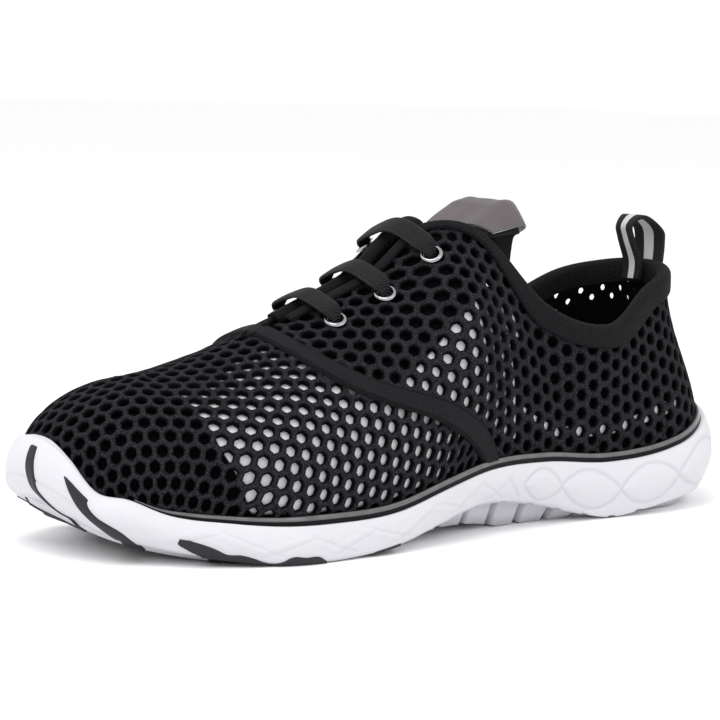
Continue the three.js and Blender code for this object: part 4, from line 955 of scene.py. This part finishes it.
def tongue_sheet(across, length):
    """Smooth sheet through the net: across from 1 at the outer hem to -1, length past the throat's top."""
    place = np.interp(length, tongue_lengths, np.arange(len(tongue_lengths)))
    strip = through(tongue_net, place.ravel())
    j = (1 - across.ravel()) * 4
    k = np.minimum(np.maximum(j, 0).astype(int), 7)
    f = (j - k)[:, None]
    i = np.arange(len(j))
    point = spline(f, *(strip[i, np.clip(k + d, 0, 8)] for d in (-1, 0, 1, 2)))
    return point.reshape(across.shape + (3,))


def tongue_point(across, length, out):
    """The tongue's sheet moved out along its normal."""
    length_in = np.clip(length, tongue_lengths[0] + 0.2, TONGUE_REACH - 0.3)
    across_in = np.clip(across, -0.96, 0.96)
    up = normal_of(tongue_sheet, across_in, length_in, -0.03, 0.1)
    return tongue_sheet(across, length) + up * np.asarray(out)[..., None]


p, w = np.meshgrid(np.linspace(1, -1, 49), np.linspace(tongue_foot, TONGUE_END, 110), indexing="ij")
puff = 0.35 * np.sin(np.clip(1 - np.abs(p), 0, 1) * np.pi / 2)
tongue = shell("tongue_pad", tongue_point(p, w, puff - 0.3), tongue_point(p, w, -TONGUE_WALL + p * 0))
pad_knit = Finish("tongue_knit_black", Specular_IOR_Level=0.1)
pile = pad_knit.noise(0.7)
pad_colour = pile.blend((0.002, 0.002, 0.003), (0.014, 0.014, 0.016))
pad_height = pile + pad_knit.noise(2.5) * 0.4
pad_knit.set(colour=pad_colour, roughness=pile * 0.2 + 0.7, height=pad_height, depth=0.3)
seat(tongue, pad_knit.material, "tongue_knit", "tongue")


# Label
# A wide satin ribbon folded over the tongue's top edge; its pale back shows inside the fold. It is bare.

LABEL_WALL, LABEL_FOLD = 0.7, 5.5
p = np.linspace(0.45, -0.45, 41)
ahead = unit(tongue_sheet(p, p * 0 + TONGUE_END) - tongue_sheet(p, p * 0 + TONGUE_END - 1))
rise = normal_of(tongue_sheet, p, p * 0 + TONGUE_END - 1, -0.03, 0.1)
open_end = ease(p, -0.1, 0.45)[:, None]
faces = []
for layer in (1, 0):
    off = CLEARANCE + LABEL_WALL * layer
    front, *upper_leaf = (tongue_point(p, p * 0 + at, off) for at in (TONGUE_END, 16.5, 21.0, 24.5))
    back, low_leaf = (tongue_point(p, p * 0 + at, -TONGUE_WALL - off) for at in (TONGUE_END, 22.0))
    back = back - rise * 1.5 * open_end
    nose = (front + back) / 2 + ahead * (LABEL_FOLD + LABEL_WALL * layer) - rise * 1.2 * open_end
    over = front + ahead * LABEL_FOLD * 0.6 - rise * (0.8 - 0.5 * open_end)
    under = back + ahead * LABEL_FOLD * 0.6 - rise * 1.2 * open_end
    tuck = tongue_point(p * 0.9, p * 0 + 16.5, -TONGUE_WALL - off)
    path = [*upper_leaf, front, over, nose, under, back, low_leaf, tuck]
    faces.append(through(np.array(path), np.linspace(0, 9, 55)))
label_uv = np.stack(np.meshgrid(np.linspace(0, 40, 55), p * 38, indexing="ij"), -1)
pale = (np.zeros(faces[0].shape[:2]).ravel(), np.ones(faces[0].shape[:2]).ravel())
label = shell("label_ribbon", faces[0], faces[1], uv=label_uv, values={"pale": pale}, turned=True)
satin = Finish("label_satin", Specular_IOR_Level=0.4)
ribbon_along = satin.strip()[0]
weft = (ribbon_along * (2 * np.pi / 0.7)).sin()
mauve = satin.noise(9.0).blend((0.075, 0.058, 0.066), (0.110, 0.094, 0.104))
satin_colour = satin.value("pale").ramp(0.4, 0.6).blend(mauve, (0.50, 0.50, 0.51))
sheen = satin.noise(6.0) * 0.15 + 0.36
satin.set(colour=satin_colour, roughness=sheen, height=weft + satin.noise(0.5), depth=0.05)
seat(label, satin.material, "label_ribbon", "tongue_label")


# Pull loop
# Woven webbing, black with a white middle, sewn inside the collar and down the back of the heel.

LOOP_WIDTH, LOOP_WALL, LOOP_RISE, LOOP_DEPTH, LOOP_PLACE = 14.0, 1.3, 18.0, 12.5, -0.010
LOOP_LEAN = (-2.6, -1.8)
per_walk = np.linalg.norm(last_point(0.004, 1) - last_point(-0.004, 1)) / 0.008
tall = np.linalg.norm(last_point(0, 1) - last_point(0, 0.99)) / 0.01
a = np.linspace(-1, 1, 25)
near_gap = BINDING_GAP + BINDING_WALL + 5 * CLEARANCE
waist, shoulder = LOOP_RISE * 0.45, LOOP_RISE * 0.75
loop_faces = []
for thick in (LOOP_WALL, 0):
    path = []
    back, front = near_gap + thick, -WALL - near_gap - CLEARANCE - thick
    swell = LOOP_DEPTH / 2 + thick
    for down, out, rise in (
            (10, back, 0), (5, back, 0), (0, back, 0), (0, swell - WALL / 2, waist),
            (0, swell - WALL / 2, shoulder), (0, -WALL / 2, LOOP_RISE - LOOP_WALL + thick),
            (0, -WALL / 2 - swell, shoulder),
            (0, -WALL / 2 - swell, waist), (0, front, 0), (6, front, 0)):
        point = skin(LOOP_PLACE + a * LOOP_WIDTH / 2 / per_walk, 1 - down / tall, out)
        point += np.array([*LOOP_LEAN, LOOP_RISE]) * (rise / LOOP_RISE)
        path.append(point)
    loop_faces.append(through(np.array(path), np.linspace(0, 9, 91)))
loop_uv = np.stack(np.meshgrid(np.linspace(0, 68, 91), a * LOOP_WIDTH / 2, indexing="ij"), -1)
pull_loop = shell("heel_webbing", loop_faces[0], loop_faces[1], uv=loop_uv, turned=True)
webbing = Finish("webbing_striped", Specular_IOR_Level=0.3)
web_along, web_across = webbing.strip()
wide = web_across.math("ABSOLUTE")
picks = (web_along * (2 * np.pi / 0.9)).sin() * (web_across * (2 * np.pi / 0.8)).sin()
web_colour = (wide + picks * 0.12).ramp(2.25, 2.45).blend((0.72, 0.72, 0.74), (0.006, 0.006, 0.007))
webbing.set(colour=web_colour, roughness=webbing.noise(1.0) * 0.2 + 0.65, height=picks, depth=0.18)
seat(pull_loop, webbing.material, "loop_webbing", "pull_loop")


# Eyelets
# Six rolled metal rings set through the wall, three down each side of the throat.

EYELET_RADIUS, EYELET_BORE, EYELET_LEVEL = 4.0, 2.4, 0.89
EYELET_STATIONS = (0.60, 0.535, 0.478)
around = np.linspace(0, 2 * np.pi, 41)[:-1]
ring_profile = np.array([
    [2.9, -2.9], [EYELET_BORE, -2.9], [EYELET_BORE, 0.2], [2.45, 0.7], [2.7, 1.05], [3.1, 1.2], [3.55, 1.1],
    [3.9, 0.8], [EYELET_RADIUS, 0.4], [3.6, 0.35], [2.9, 0.3]])
ring_parts, ring_quads = [], []
for t in EYELET_STATIONS:
    for side in (1, -1):
        centre = last_point(t * side, EYELET_LEVEL)
        axis = normal_of(last_point, t * side, EYELET_LEVEL, 0.004, 0.01)
        east = unit(np.cross(axis, [0.0, 0.0, 1.0]))
        north = np.cross(axis, east)
        ring_way = np.cos(around)[:, None] * east + np.sin(around)[:, None] * north
        points = centre + ring_profile[:, None, :1] * ring_way + ring_profile[:, None, 1:] * axis
        n, m = points.shape[:2]
        k = np.arange(n * m).reshape(n, m) + len(ring_parts) * n * m
        up, right = np.roll(k, -1, 0), np.roll(k, -1, 1)
        ring_quads.append(np.stack([k, up, np.roll(up, -1, 1), right], -1).reshape(-1, 4))
        ring_parts.append(points.reshape(-1, 3))
rings = build("eyelet_rings", np.concatenate(ring_parts), np.concatenate(ring_quads), sharp=50)
metal = Finish("eyelet_nickel", Metallic=1.0)
scuff = metal.noise(1.5)
nickel = scuff.blend((0.30, 0.31, 0.32), (0.42, 0.43, 0.44))
metal.set(colour=nickel, roughness=scuff * 0.12 + 0.14, height=scuff, depth=0.02)
ring_nodes = [f"eyelet_{side}_{k}" for k in (1, 2, 3) for side in ("outer", "inner")]
seat(rings, metal.material, "eyelet_metal", *ring_nodes)


# Lace bars
# Flat elastic with a ribbed middle, up out of one eyelet, over the throat and down into the one opposite.

LACE_WALL = 1.7
# Half of a bar: level, distance off the last, width
LACE_PATH = ((0.888, -5.0, 3.4), (0.889, -1.6, 3.8), (0.892, 1.0, 4.4), (0.903, 2.5, 6.4), (0.928, 3.4, 7.6),
             (1.000, 3.5, 7.6), (2.000, 3.6, 7.6))
elastic = Finish("lace_elastic_black", Specular_IOR_Level=0.2)
lace_along, lace_across = elastic.strip()
twill = (lace_along * (2 * np.pi / 0.95) + lace_across.math("ABSOLUTE") * 2.2).sin()
in_middle = 1.0 - lace_across.math("ABSOLUTE").ramp(2.8, 3.2)
lace_colour = (twill * 0.5 * in_middle + 0.5).blend((0.003, 0.003, 0.0035), (0.016, 0.016, 0.019))
lace_sheen = elastic.noise(1.0) * 0.2 + 0.5
elastic.set(colour=lace_colour, roughness=lace_sheen, height=twill * in_middle, depth=0.3)
for number, t in enumerate(EYELET_STATIONS, 1):
    half = [(1, *row) for row in LACE_PATH] + [(-1, *row) for row in LACE_PATH[-2::-1]]
    spine = np.array([skin(t * side, v, out) for side, v, out, _ in half])
    places = np.linspace(0, len(half) - 1, 121)
    path = through(spine, places)
    width = np.interp(places, np.arange(len(half)), [row[3] for row in half])
    along = unit(np.gradient(path, axis=0))
    across = unit(last_point(t + 0.004, 1) - last_point(t - 0.004, 1))
    wide = unit(across - along * (along @ across)[:, None])
    up = np.cross(along, wide)
    turn = np.linspace(0, 2 * np.pi, 25)[:-1]
    flat = np.sign(np.cos(turn)) * np.abs(np.cos(turn)) ** 0.55
    thick = np.sign(np.sin(turn)) * np.abs(np.sin(turn)) ** 0.8
    tube = (path[:, None] + wide[:, None] * (flat[None, :] * width[:, None] / 2)[..., None]
            + up[:, None] * (thick * LACE_WALL / 2)[None, :, None])
    n, m = tube.shape[:2]
    k = np.arange(n * m).reshape(n, m)
    right = np.roll(k, -1, 1)
    quads = np.stack([k[:-1], k[1:], right[1:], right[:-1]], -1).reshape(-1, 4)
    caps = np.concatenate([tube.reshape(-1, 3), path[[0, -1]]])
    first, last = k[0], k[-1]
    fans = [np.stack([first, np.roll(first, -1), np.full(m, n * m), np.full(m, n * m)], -1),
            np.stack([np.roll(last, -1), last, np.full(m, n * m + 1), np.full(m, n * m + 1)], -1)]
    arc = np.concatenate([[0], np.cumsum(np.linalg.norm(np.diff(path, axis=0), axis=-1))])
    lace_uv = np.stack(np.broadcast_arrays(arc[:, None], flat[None] * width[:, None] / 2), -1).reshape(-1, 2)
    lace_uv = np.concatenate([lace_uv, [[0, 0], [arc[-1], 0]]])
    bar = build(f"lace_{number}_elastic", caps, np.concatenate([quads, *fans])[:, ::-1], uv=lace_uv)
    seat(bar, elastic.material, "lace_elastic", f"lace_bar_{number}")


# Floor, light and camera
# A plain pale floor, a pale surround, one broad soft light over the toe side and two fills.

floor_mesh = bpy.data.meshes.new("floor")
floor_mesh.from_pydata([(-6, -6, 0), (6, -6, 0), (6, 6, 0), (-6, 6, 0)], [], [(0, 1, 2, 3)])
floor = bpy.data.objects.new("floor", floor_mesh)
bpy.context.scene.collection.objects.link(floor)
paper = Finish("floor_paper", Roughness=0.9, Specular_IOR_Level=0.1)
paper.set(colour=paper.noise(400.0).blend((0.972, 0.972, 0.972), (0.98, 0.98, 0.98)))
floor_mesh.materials.append(paper.material)

world = bpy.data.worlds.new("studio")
bpy.context.scene.world = world
world.use_nodes = True
surround = world.node_tree.nodes["Background"].inputs
surround["Color"].default_value, surround["Strength"].default_value = (1, 1, 1, 1), 1.0

TARGET = np.array([0.0, -0.095, 0.040])


def view_axes(azimuth, elevation):
    """Right, up and back of what looks at the shoe from azimuth and elevation in degrees."""
    a, e = azimuth * DEG, elevation * DEG
    back = np.array([np.sin(a) * np.cos(e), -np.cos(a) * np.cos(e), np.sin(e)])
    right = np.array([np.cos(a), np.sin(a), 0])
    return right, np.cross(back, right), back


def put(name, data, axes, at):
    """Places a light or camera at a point, with its three axes."""
    made = bpy.data.objects.new(name, data)
    matrix = np.eye(4)
    matrix[:3, :3], matrix[:3, 3] = np.stack(axes, 1), at
    made.matrix_world = Matrix(matrix.tolist())
    bpy.context.scene.collection.objects.link(made)
    return made


def soft_light(name, azimuth, elevation, distance, size, power):
    """A square area light that looks at the shoe."""
    data = bpy.data.lights.new(name, "AREA")
    data.shape, data.size, data.energy = "SQUARE", size, power
    axes = view_axes(azimuth, elevation)
    put(name, data, axes, TARGET + axes[2] * distance)


soft_light("key", 20, 62, 1.5, 0.8, 8)
soft_light("side", 100, 35, 1.6, 0.9, 3.5)
soft_light("front", -40, 30, 1.6, 0.9, 2.5)

ROLL, DISTANCE, SHIFT_RIGHT, SHIFT_UP = 2.034 * DEG, 0.910, -0.0161, 0.0166
right, up, back = view_axes(47.78, 7.713)
right_rolled = np.cos(ROLL) * right + np.sin(ROLL) * up
up_rolled = -np.sin(ROLL) * right + np.cos(ROLL) * up
eye = TARGET + back * DISTANCE
backward = unit(eye - (TARGET + SHIFT_RIGHT * right_rolled + SHIFT_UP * up_rolled))
across_view = unit(np.cross(up_rolled, backward))
camera_data = bpy.data.cameras.new("camera")
camera_data.sensor_width, camera_data.lens = 36.0, 128.8
camera_data.dof.use_dof = False
axes = across_view, np.cross(backward, across_view), backward
bpy.context.scene.camera = put("camera", camera_data, axes, eye)
bpy.context.scene.view_settings.view_transform = "Standard"
